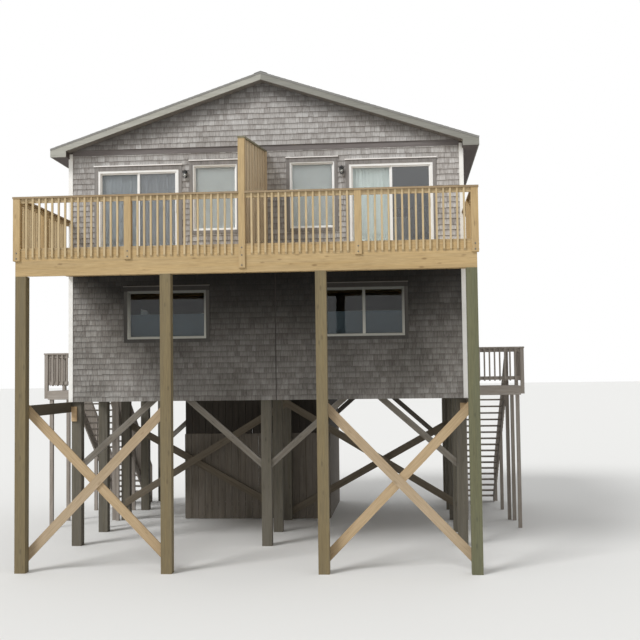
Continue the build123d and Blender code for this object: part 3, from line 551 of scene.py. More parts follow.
# Each wall as an origin and three directions: along it, up it and out of it
WALLS = {
    "front": ((0.0, FRONT_Y, 0.0), (1, 0, 0), (0, 0, 1), (0, -1, 0)),
    "rear": ((0.0, REAR_Y, 0.0), (-1, 0, 0), (0, 0, 1), (0, 1, 0)),
    "right": ((SIDE_X, FRONT_Y, 0.0), (0, 1, 0), (0, 0, 1), (1, 0, 0)),
    "left": ((-SIDE_X, FRONT_Y, 0.0), (0, -1, 0), (0, 0, 1), (-1, 0, 0)),
}


def on_plane(mesh_data, plane):
    """A mesh whose points are given as along, up and out of a plane, in the frame of the house."""
    points, faces = mesh_data
    origin, *directions = (np.array(v, float) for v in plane)
    return origin + np.asarray(points) @ np.array(directions), faces


# Openings of each wall: place along it, sill, width, height and kind
OPENINGS = {wall: [] for wall in WALLS}
for sign in (-1, 1):
    OPENINGS["front"].append((sign * SLIDER_X, UPPER_FLOOR, *SLIDER, "slider"))
    OPENINGS["front"].append((sign * TALL_WINDOW_X, UPPER_FLOOR + TALL_SILL, *TALL_WINDOW, "tall"))
    OPENINGS["front"].append((sign * LOW_WINDOW_X, LOWER_FLOOR + LOW_SILL, *LOW_WINDOW, "low"))
    OPENINGS["rear"].append((sign * LOW_WINDOW_X, LOWER_FLOOR + LOW_SILL, *LOW_WINDOW, "low"))
    OPENINGS["rear"].append((sign * TALL_WINDOW_X, UPPER_FLOOR + TALL_SILL, *TALL_WINDOW, "tall"))
    OPENINGS["rear"].append((sign * SLIDER_X, UPPER_FLOOR + TALL_SILL, *TALL_WINDOW, "tall"))
for wall, sense in (("right", 1), ("left", -1)):
    OPENINGS[wall].append((sense * ENTRY_ALONG, LOWER_FLOOR, *ENTRY, "entry"))
    OPENINGS[wall].append((sense * SIDE_FAR, LOWER_FLOOR + LOW_SILL, *SMALL_WINDOW, "small"))
    OPENINGS[wall].append((sense * SIDE_NEAR, UPPER_FLOOR + LOW_SILL, *SMALL_WINDOW, "small"))
    OPENINGS[wall].append((sense * SIDE_FAR, UPPER_FLOOR + LOW_SILL, *SMALL_WINDOW, "small"))


def courses(draw, left, right, bottom, top, exposure, narrow, wide, gap):
    """Rows of oblongs of random widths. Columns: left, right, bottom, top and the foot of the row."""
    rows = math.ceil((top - bottom) / exposure)
    count = int((right - left) / narrow) + 2
    widths = draw.uniform(narrow, wide, (rows, count))
    ends = left - draw.uniform(0, narrow, (rows, 1)) + np.cumsum(widths, axis=1)
    foot = np.broadcast_to((bottom + exposure * np.arange(rows))[:, None], ends.shape)
    cells = np.stack([ends - widths + gap / 2, ends - gap / 2, foot, np.minimum(foot + exposure, top), foot],
                     axis=-1).reshape(-1, 5)
    cells[:, 0] = np.maximum(cells[:, 0], left)
    cells[:, 1] = np.minimum(cells[:, 1], right)
    return cells[cells[:, 1] - cells[:, 0] > NARROWEST]


def cut_round(cells, left, right, bottom, top):
    """The cells with an oblong taken out: what lies left, right, above and below it stays."""
    hit = (cells[:, 0] < right) & (cells[:, 1] > left) & (cells[:, 2] < top) & (cells[:, 3] > bottom)
    inside = cells[hit]
    parts = [inside.copy() for side in range(4)]
    parts[0][:, 1] = np.minimum(inside[:, 1], left)
    parts[1][:, 0] = np.maximum(inside[:, 0], right)
    for part in parts[2:]:
        part[:, 0] = np.maximum(inside[:, 0], left)
        part[:, 1] = np.minimum(inside[:, 1], right)
    parts[2][:, 2] = np.maximum(inside[:, 2], top)
    parts[3][:, 3] = np.minimum(inside[:, 3], bottom)
    kept = np.concatenate([cells[~hit], *parts])
    return kept[(kept[:, 1] - kept[:, 0] > SLIVER) & (kept[:, 3] - kept[:, 2] > SLIVER)]


def wedges(draw, cells, plane, exposure, butt, hang, slope_top=None):
    """Tapered shingles on a plane. A shingle is thin at the top of its course and grows evenly to its
    butt at the foot; butts differ by a fifth. Above the first course they hang below the course line,
    half of the hang by a sine wave 3 m long that differs from row to row and half at random. Returns
    the mesh and, for each vertex, the shingle's own tone and how high it lies in its course."""
    wave_number, row_shift, close = 2.1, 19.0, 1e-6
    left, right, low, high, foot = cells.T
    wave = 0.5 + 0.5 * np.sin(wave_number * left + row_shift * foot)
    drop = hang / 2 * (wave + draw.uniform(0.0, 1.0, len(cells)))
    low = low - np.where((low - foot < close) & (foot > foot.min() + close), drop, 0.0)
    thick = butt * draw.uniform(0.8, 1.0, (len(cells), 2))
    across = np.stack([left, right, right, left], axis=1)
    up = np.stack([low, low, high, high], axis=1)
    if slope_top is not None:
        up[:, 2:] = np.minimum(up[:, 2:], slope_top(across[:, 2:]))
    rise = np.clip((up - foot[:, None]) / exposure, 0.0, 1.0)
    out = SHINGLE_TOP + (thick[:, [0, 1, 1, 0]] - SHINGLE_TOP) * (1.0 - rise)
    back = np.stack([across, up, np.zeros_like(up)], axis=-1)
    face = np.stack([across, up, out], axis=-1)
    points = np.concatenate([back, face], axis=1).reshape(-1, 3)
    pattern = np.array([[4, 5, 6, 7], [3, 2, 1, 0], [0, 1, 5, 4], [3, 7, 6, 2], [0, 4, 7, 3], [1, 2, 6, 5]])
    faces = (8 * np.arange(len(cells))[:, None, None] + pattern).reshape(-1, 4)
    tone = np.repeat(draw.uniform(0.0, 1.0, len(cells)), 8)
    return on_plane((points, faces.tolist()), plane), tone, np.tile(rise, (1, 2)).reshape(-1)


def wall_cells(draw, wall, sizes):
    """Shingle cells of one wall, from corner board to corner board, cut round its openings, the seam,
    the screen's board and the landings."""
    beyond, above_landing = 0.010, 0.004
    depth = REAR_Y - FRONT_Y
    across = {"front": (-SIDE_X, SIDE_X), "rear": (-SIDE_X, SIDE_X), "right": (0.0, depth),
              "left": (-depth, 0.0)}
    inset = CORNER_BOARD - TRIM if wall in ("front", "rear") else CORNER_BOARD
    left, right = across[wall]
    top = BAND_TOP - BAND_HEIGHT if wall in ("front", "rear") else SOFFIT_LOW
    cells = courses(draw, left + inset, right - inset, SIDING_LOW, top, sizes.exposure, sizes.narrow,
                    sizes.wide, sizes.gap)
    for along, sill, width, height, kind in OPENINGS[wall]:
        reach = width / 2 + CASING / 2
        foot = sill if kind in ("slider", "entry") else sill - CASING / 2
        cells = cut_round(cells, along - reach, along + reach, foot, sill + height + HEAD_CASING / 2)
    if wall == "front":
        cells = cut_round(cells, SEAM_X - SEAM_HALF, SEAM_X + SEAM_HALF, SIDING_LOW - beyond, DECK_TOP)
        half = SCREEN_WALL_BOARD / 2
        cells = cut_round(cells, -half, half, DECK_TOP, CEILING + beyond)
    if wall in ("right", "left"):
        span = sorted(value if wall == "right" else -value for value in LANDING_SPAN)
        cells = cut_round(cells, *span, SIDING_LOW - beyond, LANDING_TOP + above_landing)
    return cells


def gable_cells(draw, sizes):
    """Shingle cells of a gable, each row cut off where it meets the roof."""
    reach = (GABLE_TOP - BAND_TOP) / PITCH
    cells = courses(draw, -reach, reach, BAND_TOP, GABLE_TOP, sizes.exposure, sizes.narrow, sizes.wide,
                    sizes.gap)
    limit = (GABLE_TOP - 2 * ROOF_SPACE - cells[:, 2]) / PITCH
    cells[:, 0] = np.maximum(cells[:, 0], -limit)
    cells[:, 1] = np.minimum(cells[:, 1], limit)
    return cells[cells[:, 1] - cells[:, 0] > GABLE_SLIVER]


def under_roof(across):
    """Height at which the gable's shingles end, at a distance from the middle."""
    return GABLE_TOP - ROOF_SPACE - np.abs(across) * PITCH


class BEACH_OT_wall_shingles(bpy.types.Operator):
    """Cover the walls and both gables with split shingles in even courses"""
    bl_idname = "beach.wall_shingles"
    bl_label = "Wall shingles"

    def execute(self, context):
        deck_shadow_top = DECK_LOW + 0.1
        sizes = context.scene.beach_shingles
        tones = [sizes.pale[:], sizes.middle[:], sizes.dark[:]]
        cedar = cedar_shingles("Weathered cedar shingle", *tones)
        # A copy of the shingle with the deck's painted shadow, for the front below the deck
        deck_shaded_cedar = cedar_shingles("Sheltered cedar shingle", *tones, sizes.shelter)
        draw = np.random.default_rng(WALL_SEED)
        form = (sizes.exposure, sizes.butt, sizes.hang)
        for wall, plane in WALLS.items():
            cells = wall_cells(draw, wall, sizes)
            if wall == "front":
                under_deck = cells[:, 3] < deck_shadow_top
                mesh, tone, rise = wedges(draw, cells[under_deck], plane, *form)
                add_piece("shingles_under_deck", mesh, deck_shaded_cedar, "cedar_shingle", tone=tone, rise=rise)
                cells = cells[~under_deck]
            layers = [wedges(draw, cells, plane, *form)]
            if wall in ("front", "rear"):
                origin = np.array(plane[0]) + abs(GABLE_FACE - FRONT_Y) * np.array(plane[3])
                layers.append(wedges(draw, gable_cells(draw, sizes), (origin, *plane[1:]), *form, under_roof))
            meshes, tone, rise = zip(*layers)
            add_piece("shingles_" + wall, joined(meshes), cedar, "cedar_shingle", tone=np.concatenate(tone),
                      rise=np.concatenate(rise))
        return {"FINISHED"}


class BEACH_OT_trim(bpy.types.Operator):
    """Hem the drip caps, close the ends of the boxed eaves and carry the corner boards up to the roof"""
    bl_idname = "beach.trim"
    bl_label = "Trim"

    def execute(self, context):
        hem_down, hem_up, hem_half = 0.010, 0.014, 0.004
        top_rise, top_out = 0.115, 0.036
        return_thick, return_low, return_high, return_out = 0.018, 0.002, 0.122, 0.284
        outer = SIDE_X + TRIM
        hems, tops, returns = [], [], []
        for wall, plane in WALLS.items():
            for along, sill, width, height, *_ in OPENINGS[wall]:
                reach = width / 2 + CASING + DRIP_CAP_END
                head = sill + height + HEAD_CASING
                hem = boards([(along - reach, head - hem_down, DRIP_CAP_PROUD - hem_half)],
                             [(along + reach, head + hem_up, DRIP_CAP_PROUD + hem_half)], 0, EASE / 2)
                hems.append(on_plane(hem, plane))
        for plane in (WALLS["front"], WALLS["rear"]):
            for x0, x1 in ((-outer, CORNER_BOARD - outer), (outer - CORNER_BOARD, outer)):
                top = boards([(x0, SOFFIT_LOW, 0.0)], [(x1, SOFFIT_LOW + top_rise, top_out)], 1, EASE)
                tops.append(on_plane(top, plane))
            for x0, x1 in ((-outer - return_thick, -outer), (outer, outer + return_thick)):
                side = boards([(x0, SOFFIT_LOW + return_low, TRIM)],
                              [(x1, SOFFIT_LOW + return_high, return_out)], 2, EASE)
                returns.append(on_plane(side, plane))
        materials = bpy.data.materials
        add_piece("drip_cap_hems", joined(hems), materials["White drip cap paint"], "white_trim")
        add_piece("corner_board_tops", joined(tops), materials["White trim paint"], "white_trim")
        add_piece("eave_returns", joined(returns), materials["Stained soffit board"], "soffit_board")
        return {"FINISHED"}


class BEACH_OT_roof_shingles(bpy.types.Operator):
    """Lay tabs on both slopes of the roof, fold caps over the ridge and edge the rakes with metal"""
    bl_idname = "beach.roof_shingles"
    bl_label = "Roof shingles"

    def execute(self, context):
        tab_gap, eave_lap, ridge_space, tab_hang = 0.006, 0.008, 0.002, 0.006
        cap_length, cap_foot, cap_head, cap_thick = 0.2, 0.0125, 0.0050, 0.005
        strip_proud = 0.008
        sizes = context.scene.beach_roof
        asphalt = asphalt_shingles(sizes)
        draw = np.random.default_rng(ROOF_SEED)
        run, climb = EAVE_X, RIDGE - EAVE_TOP
        slope = math.hypot(run, climb)
        cos, sin = run / slope, climb / slope
        planes = {
            "roof_tabs_right": ((EAVE_X, 0, EAVE_TOP), (0, 1, 0), (-cos, 0, sin), (sin, 0, cos)),
            "roof_tabs_left": ((-EAVE_X, 0, EAVE_TOP), (0, -1, 0), (cos, 0, sin), (-sin, 0, cos)),
        }
        for name, plane in planes.items():
            ends = sorted(y * plane[1][1] for y in (RAKE_FRONT, RAKE_REAR))
            cells = courses(draw, *ends, -eave_lap, slope - ridge_space, sizes.exposure, sizes.tab, sizes.tab,
                            tab_gap)
            mesh, tone, _ = wedges(draw, cells, plane, sizes.exposure, sizes.butt, tab_hang)
            add_piece(name, mesh, asphalt, "roof_shingle", tone=tone)
        drop = RIDGE_CAP_HALF * climb / run
        start = np.arange(RAKE_FRONT, RAKE_REAR - sizes.exposure / 2, sizes.exposure)
        end = np.minimum(start + cap_length, RAKE_REAR)
        across = RIDGE_CAP_HALF * np.array([-1, 0, 1, 1, 0, -1])
        level = drop * np.array([-1, 0, -1, -1, 0, -1])
        outer = np.array([1, 1, 1, 0, 0, 0])
        rings = np.zeros((len(start), 2, 6, 3))
        rings[..., 0] = across
        rings[:, 0, :, 1] = start[:, None]
        rings[:, 1, :, 1] = end[:, None]
        rings[:, 0, :, 2] = RIDGE + cap_foot + level + cap_thick * outer
        rings[:, 1, :, 2] = RIDGE + cap_head + level + cap_thick * outer
        tone = np.repeat(draw.uniform(0, 1, len(start)), 12)
        add_piece("ridge_tabs", carried(rings), asphalt, "roof_shingle", ["ridge_cap"], tone=tone)
        down = sizes.drip_edge
        side = np.array([(RIDGE, 0.0), (EAVE_TOP, EAVE_X), (EAVE_TOP - down, EAVE_X), (RIDGE - down, 0.0)])
        strips = np.zeros((2, 2, 4, 3))
        strips[0, :, :, [2, 0]] = side.T[:, None, :]
        strips[1, :, :, [2, 0]] = (side[::-1] * (1.0, -1.0)).T[:, None, :]
        strips[:, :, :, 1] = np.array([RAKE_FRONT - strip_proud, RAKE_FRONT])[:, None]
        dulled = painted("Dulled aluminium drip edge", "#858480", "#75746F", 0.5)
        add_piece("drip_edges", carried(strips), dulled, "weathered_trim")
        return {"FINISHED"}


class BEACH_OT_deck_boards(bpy.types.Operator):
    """Lay the deck in boards, with joints over the joists and two screws at each joist"""
    bl_idname = "beach.deck_boards"
    bl_label = "Deck boards"

    def execute(self, context):
        joint_joists = np.array([[7, 15], [5, 12], [10, 17], [8, 13]])
        half_joint = 0.0015
        screw_near, screw_far = -0.045, 0.040
        screw_radii, screw_heights = [0.0045, 0.0045, 0.003], [-0.002, 0.0005, 0.0010]
        sizes = context.scene.beach_timber
        low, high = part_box("deck_floor")
        pitch = (high.y - low.y + sizes.deck_gap) / sizes.deck_rows
        bay = (high.x - low.x - LUMBER) / DECK_JOIST_BAYS
        first_joist = low.x + LUMBER / 2
        row = np.arange(sizes.deck_rows)
        joints = first_joist + bay * joint_joists[row % len(joint_joists)]
        stops = np.pad(joints, ((0, 0), (1, 1)), constant_values=((0, 0), (low.x, high.x)))
        start = (stops[:, :-1] + half_joint).reshape(-1)
        end = (stops[:, 1:] - half_joint).reshape(-1)
        near = np.repeat(low.y + row * pitch, stops.shape[1] - 1)
        bottom = np.stack([start, near, np.full_like(near, low.z)], axis=1)
        top = np.stack([end, near + pitch - sizes.deck_gap, np.full_like(near, high.z)], axis=1)
        wood = timber("Treated pine decking", 0, "#C7AE80", "#AD936A", "#7F663F", 0.6, 0.3, "#A29986")
        add_piece("deck_boards", boards(bottom, top, 0, sizes.ease), wood, "treated_lumber", ["deck_floor"])
        x = first_joist + bay * np.arange(DECK_JOIST_BAYS + 1)
        y = low.y + pitch * (row + 0.5)
        y = np.concatenate([y + screw_near, y + screw_far])
        places = np.stack([*np.meshgrid(x, y), np.full((len(y), len(x)), high.z)], axis=-1).reshape(-1, 3)
        screws = turned(screw_radii, screw_heights, places, 6)
        add_piece("deck_screws", screws, steel(), "lantern_metal")
        return {"FINISHED"}


class BEACH_OT_landing_boards(bpy.types.Operator):
    """Lay both side landings in boards on their rims"""
    bl_idname = "beach.landing_boards"
    bl_label = "Landing boards"

    def execute(self, context):
        rows, wall_space, post_space = 11, 0.001, 0.002
        sizes = context.scene.beach_timber
        low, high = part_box("landings")
        rim_top = high.z - LANDING_BOARD
        near = np.linspace(low.y, high.y, rows + 1)[:-1]
        far = near + (high.y - low.y) / rows - sizes.deck_gap
        wall_posts = (low.y + LUMBER, high.y - LUMBER - LANDING_POST)
        beside_post = np.any([(near < y + LANDING_POST) & (far > y) for y in wall_posts], axis=0)
        inner = np.where(beside_post, SIDE_X + TRIM + LANDING_POST + post_space, SIDE_X + wall_space)
        y0, y1 = low.y + LUMBER, high.y - LUMBER
        meshes = []
        for sign in (1, -1):
            ends = np.stack([sign * inner, np.full_like(inner, sign * high.x)])
            lower = np.stack([ends.min(axis=0), near, np.full_like(near, rim_top)], axis=1)
            upper = np.stack([ends.max(axis=0), far, np.full_like(near, high.z)], axis=1)
            meshes.append(boards(lower, upper, 0, sizes.ease))
            x0, x1 = sorted((sign * SIDE_X, sign * high.x))
            meshes.append(boards([(x0, low.y, low.z), (x0, y1, low.z)],
                                 [(x1, y0, rim_top), (x1, high.y, rim_top)], 0, sizes.ease))
            for outward in ((high.x - LUMBER, high.x), (SIDE_X, SIDE_X + TRIM - wall_space)):
                x0, x1 = sorted(sign * x for x in outward)
                meshes.append(boards([(x0, y0, low.z)], [(x1, y1, rim_top)], 1, sizes.ease))
        wood = timber("Weathered landing board", 0, "#AAA197", "#90877D", "#675F57", 0.4, 0.5, "#ADA69F",
                      0.85)
        add_piece("landing_boards", joined(meshes), wood, "landing_wood", ["landings"])
        return {"FINISHED"}


class BEACH_OT_privacy_screen(bpy.types.Operator):
    """Stand two staggered layers of upright boards on level rails, their tops cut to the slope of the cap"""
    bl_idname = "beach.privacy_screen"
    bl_label = "Privacy screen"

    def execute(self, context):
        thick, narrowest = 0.019, 0.02
        rail_levels = (0.10, 1.02, 1.94)
        sizes = context.scene.beach_timber
        low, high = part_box("privacy_screen")
        cap_low, cap_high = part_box("screen_cap")
        climb = (cap_high.z - cap_low.z - LUMBER) / (cap_high.y - cap_low.y)
        pitch = sizes.screen_board + sizes.screen_gap
        meshes = []
        for side, shift in ((1, 0.0), (-1, 0.5)):
            edges = np.arange(low.y - shift * pitch, high.y, pitch)
            near = np.maximum(edges, low.y)
            far = np.minimum(edges + sizes.screen_board, high.y)
            keep = far - near > narrowest
            near, far = near[keep], far[keep]
            outline = eased_outline(np.full(len(near), thick / 2), (far - near) / 2, sizes.ease)
            rings = np.zeros((len(near), 2, 8, 3))
            rings[..., 0] = side * (high.x - thick / 2) + outline[:, None, :, 0]
            rings[..., 1] = ((near + far) / 2)[:, None, None] + outline[:, None, :, 1]
            rings[:, 0, :, 2] = low.z
            rings[:, 1, :, 2] = cap_low.z + (rings[:, 1, :, 1] - cap_low.y) * climb
            meshes.append(carried(rings))
        inside = high.x - thick
        meshes.append(boards([(-inside, low.y, low.z + rise) for rise in rail_levels],
                             [(inside, high.y, low.z + rise + RAIL_BOARD) for rise in rail_levels], 1,
                             sizes.ease))
        wood = bpy.data.materials["Treated pine screen board"]
        add_piece("screen_boards", joined(meshes), wood, "screen_board", ["privacy_screen"])
        return {"FINISHED"}


class BEACH_OT_store_boards(bpy.types.Operator):
    """Close the store under the house with a lower tier of upright boards over the foot of an upper one"""
    bl_idname = "beach.store_boards"
    bl_label = "Store boards"

    def execute(self, context):
        ground_space, tier_lap, board_gap, narrowest, unevenness = 0.002, 0.08, 0.005, 0.03, 0.012
        rail_levels = (0.35, 1.25)
        sizes = context.scene.beach_timber
        low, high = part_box("storage_walls")
        draw = np.random.default_rng(STORE_SEED)
        thick = LUMBER / 2
        meshes = []
        for tier in (0, 1):
            out = tier * thick
            x0, x1, y0, y1 = low.x + out, high.x - out, low.y + out, high.y - out
            foot = low.z + ground_space if tier == 0 else sizes.store_tier - tier_lap
            head = sizes.store_tier if tier == 0 else high.z
            for along, start, stop, near in ((0, x0, x1, y0), (0, x0, x1, y1 - thick),
                                             (1, y0 + thick, y1 - thick, x0),
                                             (1, y0 + thick, y1 - thick, x1 - thick)):
                left = np.arange(start, stop - narrowest, sizes.store_board)
                right = np.minimum(left + sizes.store_board, stop) - board_gap
                uneven = draw.uniform(0.0, unevenness, len(left))
                lower, upper = np.zeros((2, len(left), 3))
                lower[:, along], upper[:, along] = left, right
                lower[:, 1 - along], upper[:, 1 - along] = near, near + thick
                lower[:, 2], upper[:, 2] = foot + uneven, head - (1 - tier) * uneven
                meshes.append(boards(lower, upper, 2, EASE))
        x0, x1, y0, y1 = low.x + thick, high.x - thick, low.y + thick, high.y - thick
        for level in rail_levels:
            rail_top = level + RAIL_BOARD
            meshes.append(boards([(x0, y0, level), (x0, y1 - thick, level)],
                                 [(x1, y0 + thick, rail_top), (x1, y1, rail_top)], 0, EASE))
            meshes.append(boards([(x0, y0 + thick, level), (x1 - thick, y0 + thick, level)],
                                 [(x0 + thick, y1 - thick, rail_top), (x1, y1 - thick, rail_top)], 1, EASE))
        wood = timber("Weathered store board", 2, "#7A7166", "#60594D", "#3F3A33", 0.5, 0.4, "#7F7871", 0.85,
                      tints=[(2, "GREATER_THAN", sizes.store_tier + 0.001, "#8A8682", 0.0)])
        add_piece("store_boards", joined(meshes), wood, "old_board", ["storage_walls"])
        return {"FINISHED"}


def pane_span(opening, pane):
    """Left, right, bottom and top of one pane's clear glass."""
    along, sill, width, height, kind = opening
    edge = DOOR_EDGE if kind in ("slider", "entry") else WINDOW_EDGE
    count = 2 if kind in ("slider", "low") else 1
    step = (width - 2 * edge) / count
    left = along - width / 2 + edge + pane * step
    return left + SASH, left + step - SASH, sill + edge + SASH, sill + height - edge - SASH


def slats(left, right, centres, plane, tilt):
    """Level blind slats: a thin oblong section, tilted, carried from left to right at each height."""
    corner = np.array([(-SLAT_HALF, -SLAT_THICK / 2), (SLAT_HALF, -SLAT_THICK / 2),
                       (SLAT_HALF, SLAT_THICK / 2), (-SLAT_HALF, SLAT_THICK / 2)])
    turn = np.array([[math.cos(tilt), math.sin(tilt)], [-math.sin(tilt), math.cos(tilt)]])
    section = corner @ turn
    rings = np.zeros((len(centres), 2, 4, 3))
    rings[:, 0, :, 0] = left
    rings[:, 1, :, 0] = right
    rings[..., 1] = np.asarray(centres)[:, None, None] + section[:, 0]
    rings[..., 2] = SLAT_BACK + section[:, 1]
    return on_plane(carried(rings), plane)


class BEACH_OT_blinds(bpy.types.Operator):
    """Hang level blinds in the windows, half drawn up in the low front ones, and upright slats in the
    sliding doors"""
    bl_idname = "beach.blinds"
    bl_label = "Blinds"

    def execute(self, context):
        end_space, drawn_share = 0.02, 0.52
        half_lap, half_tilt, level_lap, level_tilt = 0.03, 0.25, 0.02, 0.35
        level, half = [], []
        for wall, plane in WALLS.items():
            for opening in OPENINGS[wall]:
                kind = opening[4]
                if kind in ("slider", "entry"):
                    continue
                for pane in range(2 if kind == "low" else 1):
                    left, right, bottom, top = pane_span(opening, pane)
                    if wall == "front" and kind == "low":
                        heights = np.arange(bottom - end_space, bottom + drawn_share * (top - bottom),
                                            SLAT_PITCH)
                        half.append(slats(left - half_lap, right + half_lap, heights, plane, half_tilt))
                    else:
                        heights = np.arange(bottom + end_space, top, SLAT_PITCH)
                        level.append(slats(left - level_lap, right + level_lap, heights, plane, level_tilt))
        pale = painted("Pale blind vinyl", "#E8ECEC", "#D8DDDD", 0.5)
        slate = painted("Slate blind vinyl", "#293D48", "#22343D", 0.5)
        add_piece("level_blinds", joined(level), pale, "white_vinyl")
        add_piece("half_blinds", joined(half), slate, "white_vinyl")
        pitch, half_width, thick, bulge = 0.078, 0.0445, 0.0015, 0.006
        first, behind, past_glass = 0.02, 0.124, 0.03
        mean_turn, turn_range, turn_step = 0.35, 0.10, 2.3
        hangings = {"upright_slats_left": ("Grey slat vinyl", "#B3B8BE", "#A3A8AE", -1, 1),
                    "upright_slats_right": ("Pale green slat vinyl", "#F7FFFD", "#E3EEEA", 1, 0)}
        for name, (label, clean, worn, sign, last_pane) in hangings.items():
            opening = next(o for o in OPENINGS["front"] if o[4] == "slider" and o[0] * sign > 0)
            left, right, bottom, top = pane_span(opening, 0)
            right = pane_span(opening, last_pane)[1]
            centres = np.arange(left + first, right + past_glass, pitch)
            turn = mean_turn + turn_range * np.sin(np.arange(len(centres)) * turn_step)
            across = np.linspace(-half_width, half_width, 5)
            bow = bulge * (1 - (across / half_width) ** 2)
            outline = np.concatenate([np.stack([across, bow], axis=1),
                                      np.stack([across[::-1], bow[::-1] + thick], axis=1)])
            cos, sin = np.cos(turn)[:, None], np.sin(turn)[:, None]
            rings = np.zeros((len(centres), 2, 10, 3))
            rings[..., 0] = (centres[:, None] + outline[:, 0] * cos - outline[:, 1] * sin)[:, None, :]
            rings[..., 1] = FRONT_Y + behind + (outline[:, 0] * sin + outline[:, 1] * cos)[:, None, :]
            rings[:, 0, :, 2] = bottom - past_glass
            rings[:, 1, :, 2] = top + past_glass
            add_piece(name, carried(rings), painted(label, clean, worn, 0.5), "white_vinyl")
        return {"FINISHED"}


class BEACH_OT_door_fittings(bpy.types.Operator):
    """Fit insect screens and pulls to the sliding doors, and knobs and panels to the side doors"""
    bl_idname = "beach.door_fittings"
    bl_label = "Door fittings"

    def execute(self, context):
        near, far = FRONT_Y + 0.014, FRONT_Y + 0.034
        sheet_near, sheet_far, sheet_lap = FRONT_Y + 0.023, FRONT_Y + 0.025, 0.004
        grip_near, grip_far, grip_rise = FRONT_Y - 0.022, FRONT_Y - 0.008, 0.95
        bar, foot, pull_height, foot_height = (0.004, 0.026), (0.006, 0.024), 0.20, 0.03
        bars, sheets, pulls = [], [], []
        for opening in OPENINGS["front"]:
            if opening[4] != "slider":
                continue
            left, right, bottom, top = pane_span(opening, 1)
            x0, x1, z0, z1 = left - SASH, right + SASH, bottom - SASH, top + SASH
            bars.append(boards([(x0, near, z0), (right, near, z0)],
                               [(left, far, z1), (x1, far, z1)], 2, EASE))
            bars.append(boards([(left, near, z0), (left, near, top)],
                               [(right, far, bottom), (right, far, z1)], 0, EASE))
            sheets.append(boards([(left - sheet_lap, sheet_near, bottom - sheet_lap)],
                                 [(right + sheet_lap, sheet_far, top + sheet_lap)], 2, EASE / 4))
            low, high = bottom + grip_rise, bottom + grip_rise + pull_height
            pulls.append(boards([(right + bar[0], grip_near, low), (right + foot[0], grip_far, low),
                                 (right + foot[0], grip_far, high - foot_height)],
                                [(right + bar[1], grip_far, high), (right + foot[1], near, low + foot_height),
                                 (right + foot[1], near, high)], 2, EASE))
        white = bpy.data.materials["White vinyl frame"]
        add_piece("insect_screen_frames", joined(bars), white, "white_vinyl")
        add_piece("insect_screens", joined(sheets), insect_screen(), "window_glass")
        add_piece("door_pulls", joined(pulls), white, "white_vinyl")
        knob_along, knob_rise = 0.375, 0.95
        knob = [(0.030, -0.040), (0.030, -0.034), (0.012, -0.030), (0.012, -0.006), (0.027, 0.004),
                (0.030, 0.014), (0.022, 0.024), (0.008, 0.028)]
        columns = ((-0.34, -0.05), (0.05, 0.34))
        rows = ((0.20, 0.82), (0.98, 1.55), (1.66, 1.92))
        layers = ((0.0, -0.041, -0.031, 0.005), (0.05, -0.032, -0.024, 0.004))
        knobs, panels = [], []
        for wall, sense in (("right", 1), ("left", -1)):
            along, sill = OPENINGS[wall][0][:2]
            plane = WALLS[wall]
            centre = (along + sense * knob_along, sill + knob_rise, 0.0)
            knobs.append(on_plane(turned(*zip(*knob), [centre], 16), plane))
            for (a0, a1), (b0, b1), (inset, back, face, ease) in product(columns, rows, layers):
                panel = boards([(along + a0 + inset, sill + b0 + inset, back)],
                               [(along + a1 - inset, sill + b1 - inset, face)], 0, ease)
                panels.append(on_plane(panel, plane))
        add_piece("door_knobs", joined(knobs), steel(), "lantern_metal")
        add_piece("door_panels", joined(panels), bpy.data.materials["Satin door paint"], "door_paint")
        return {"FINISHED"}


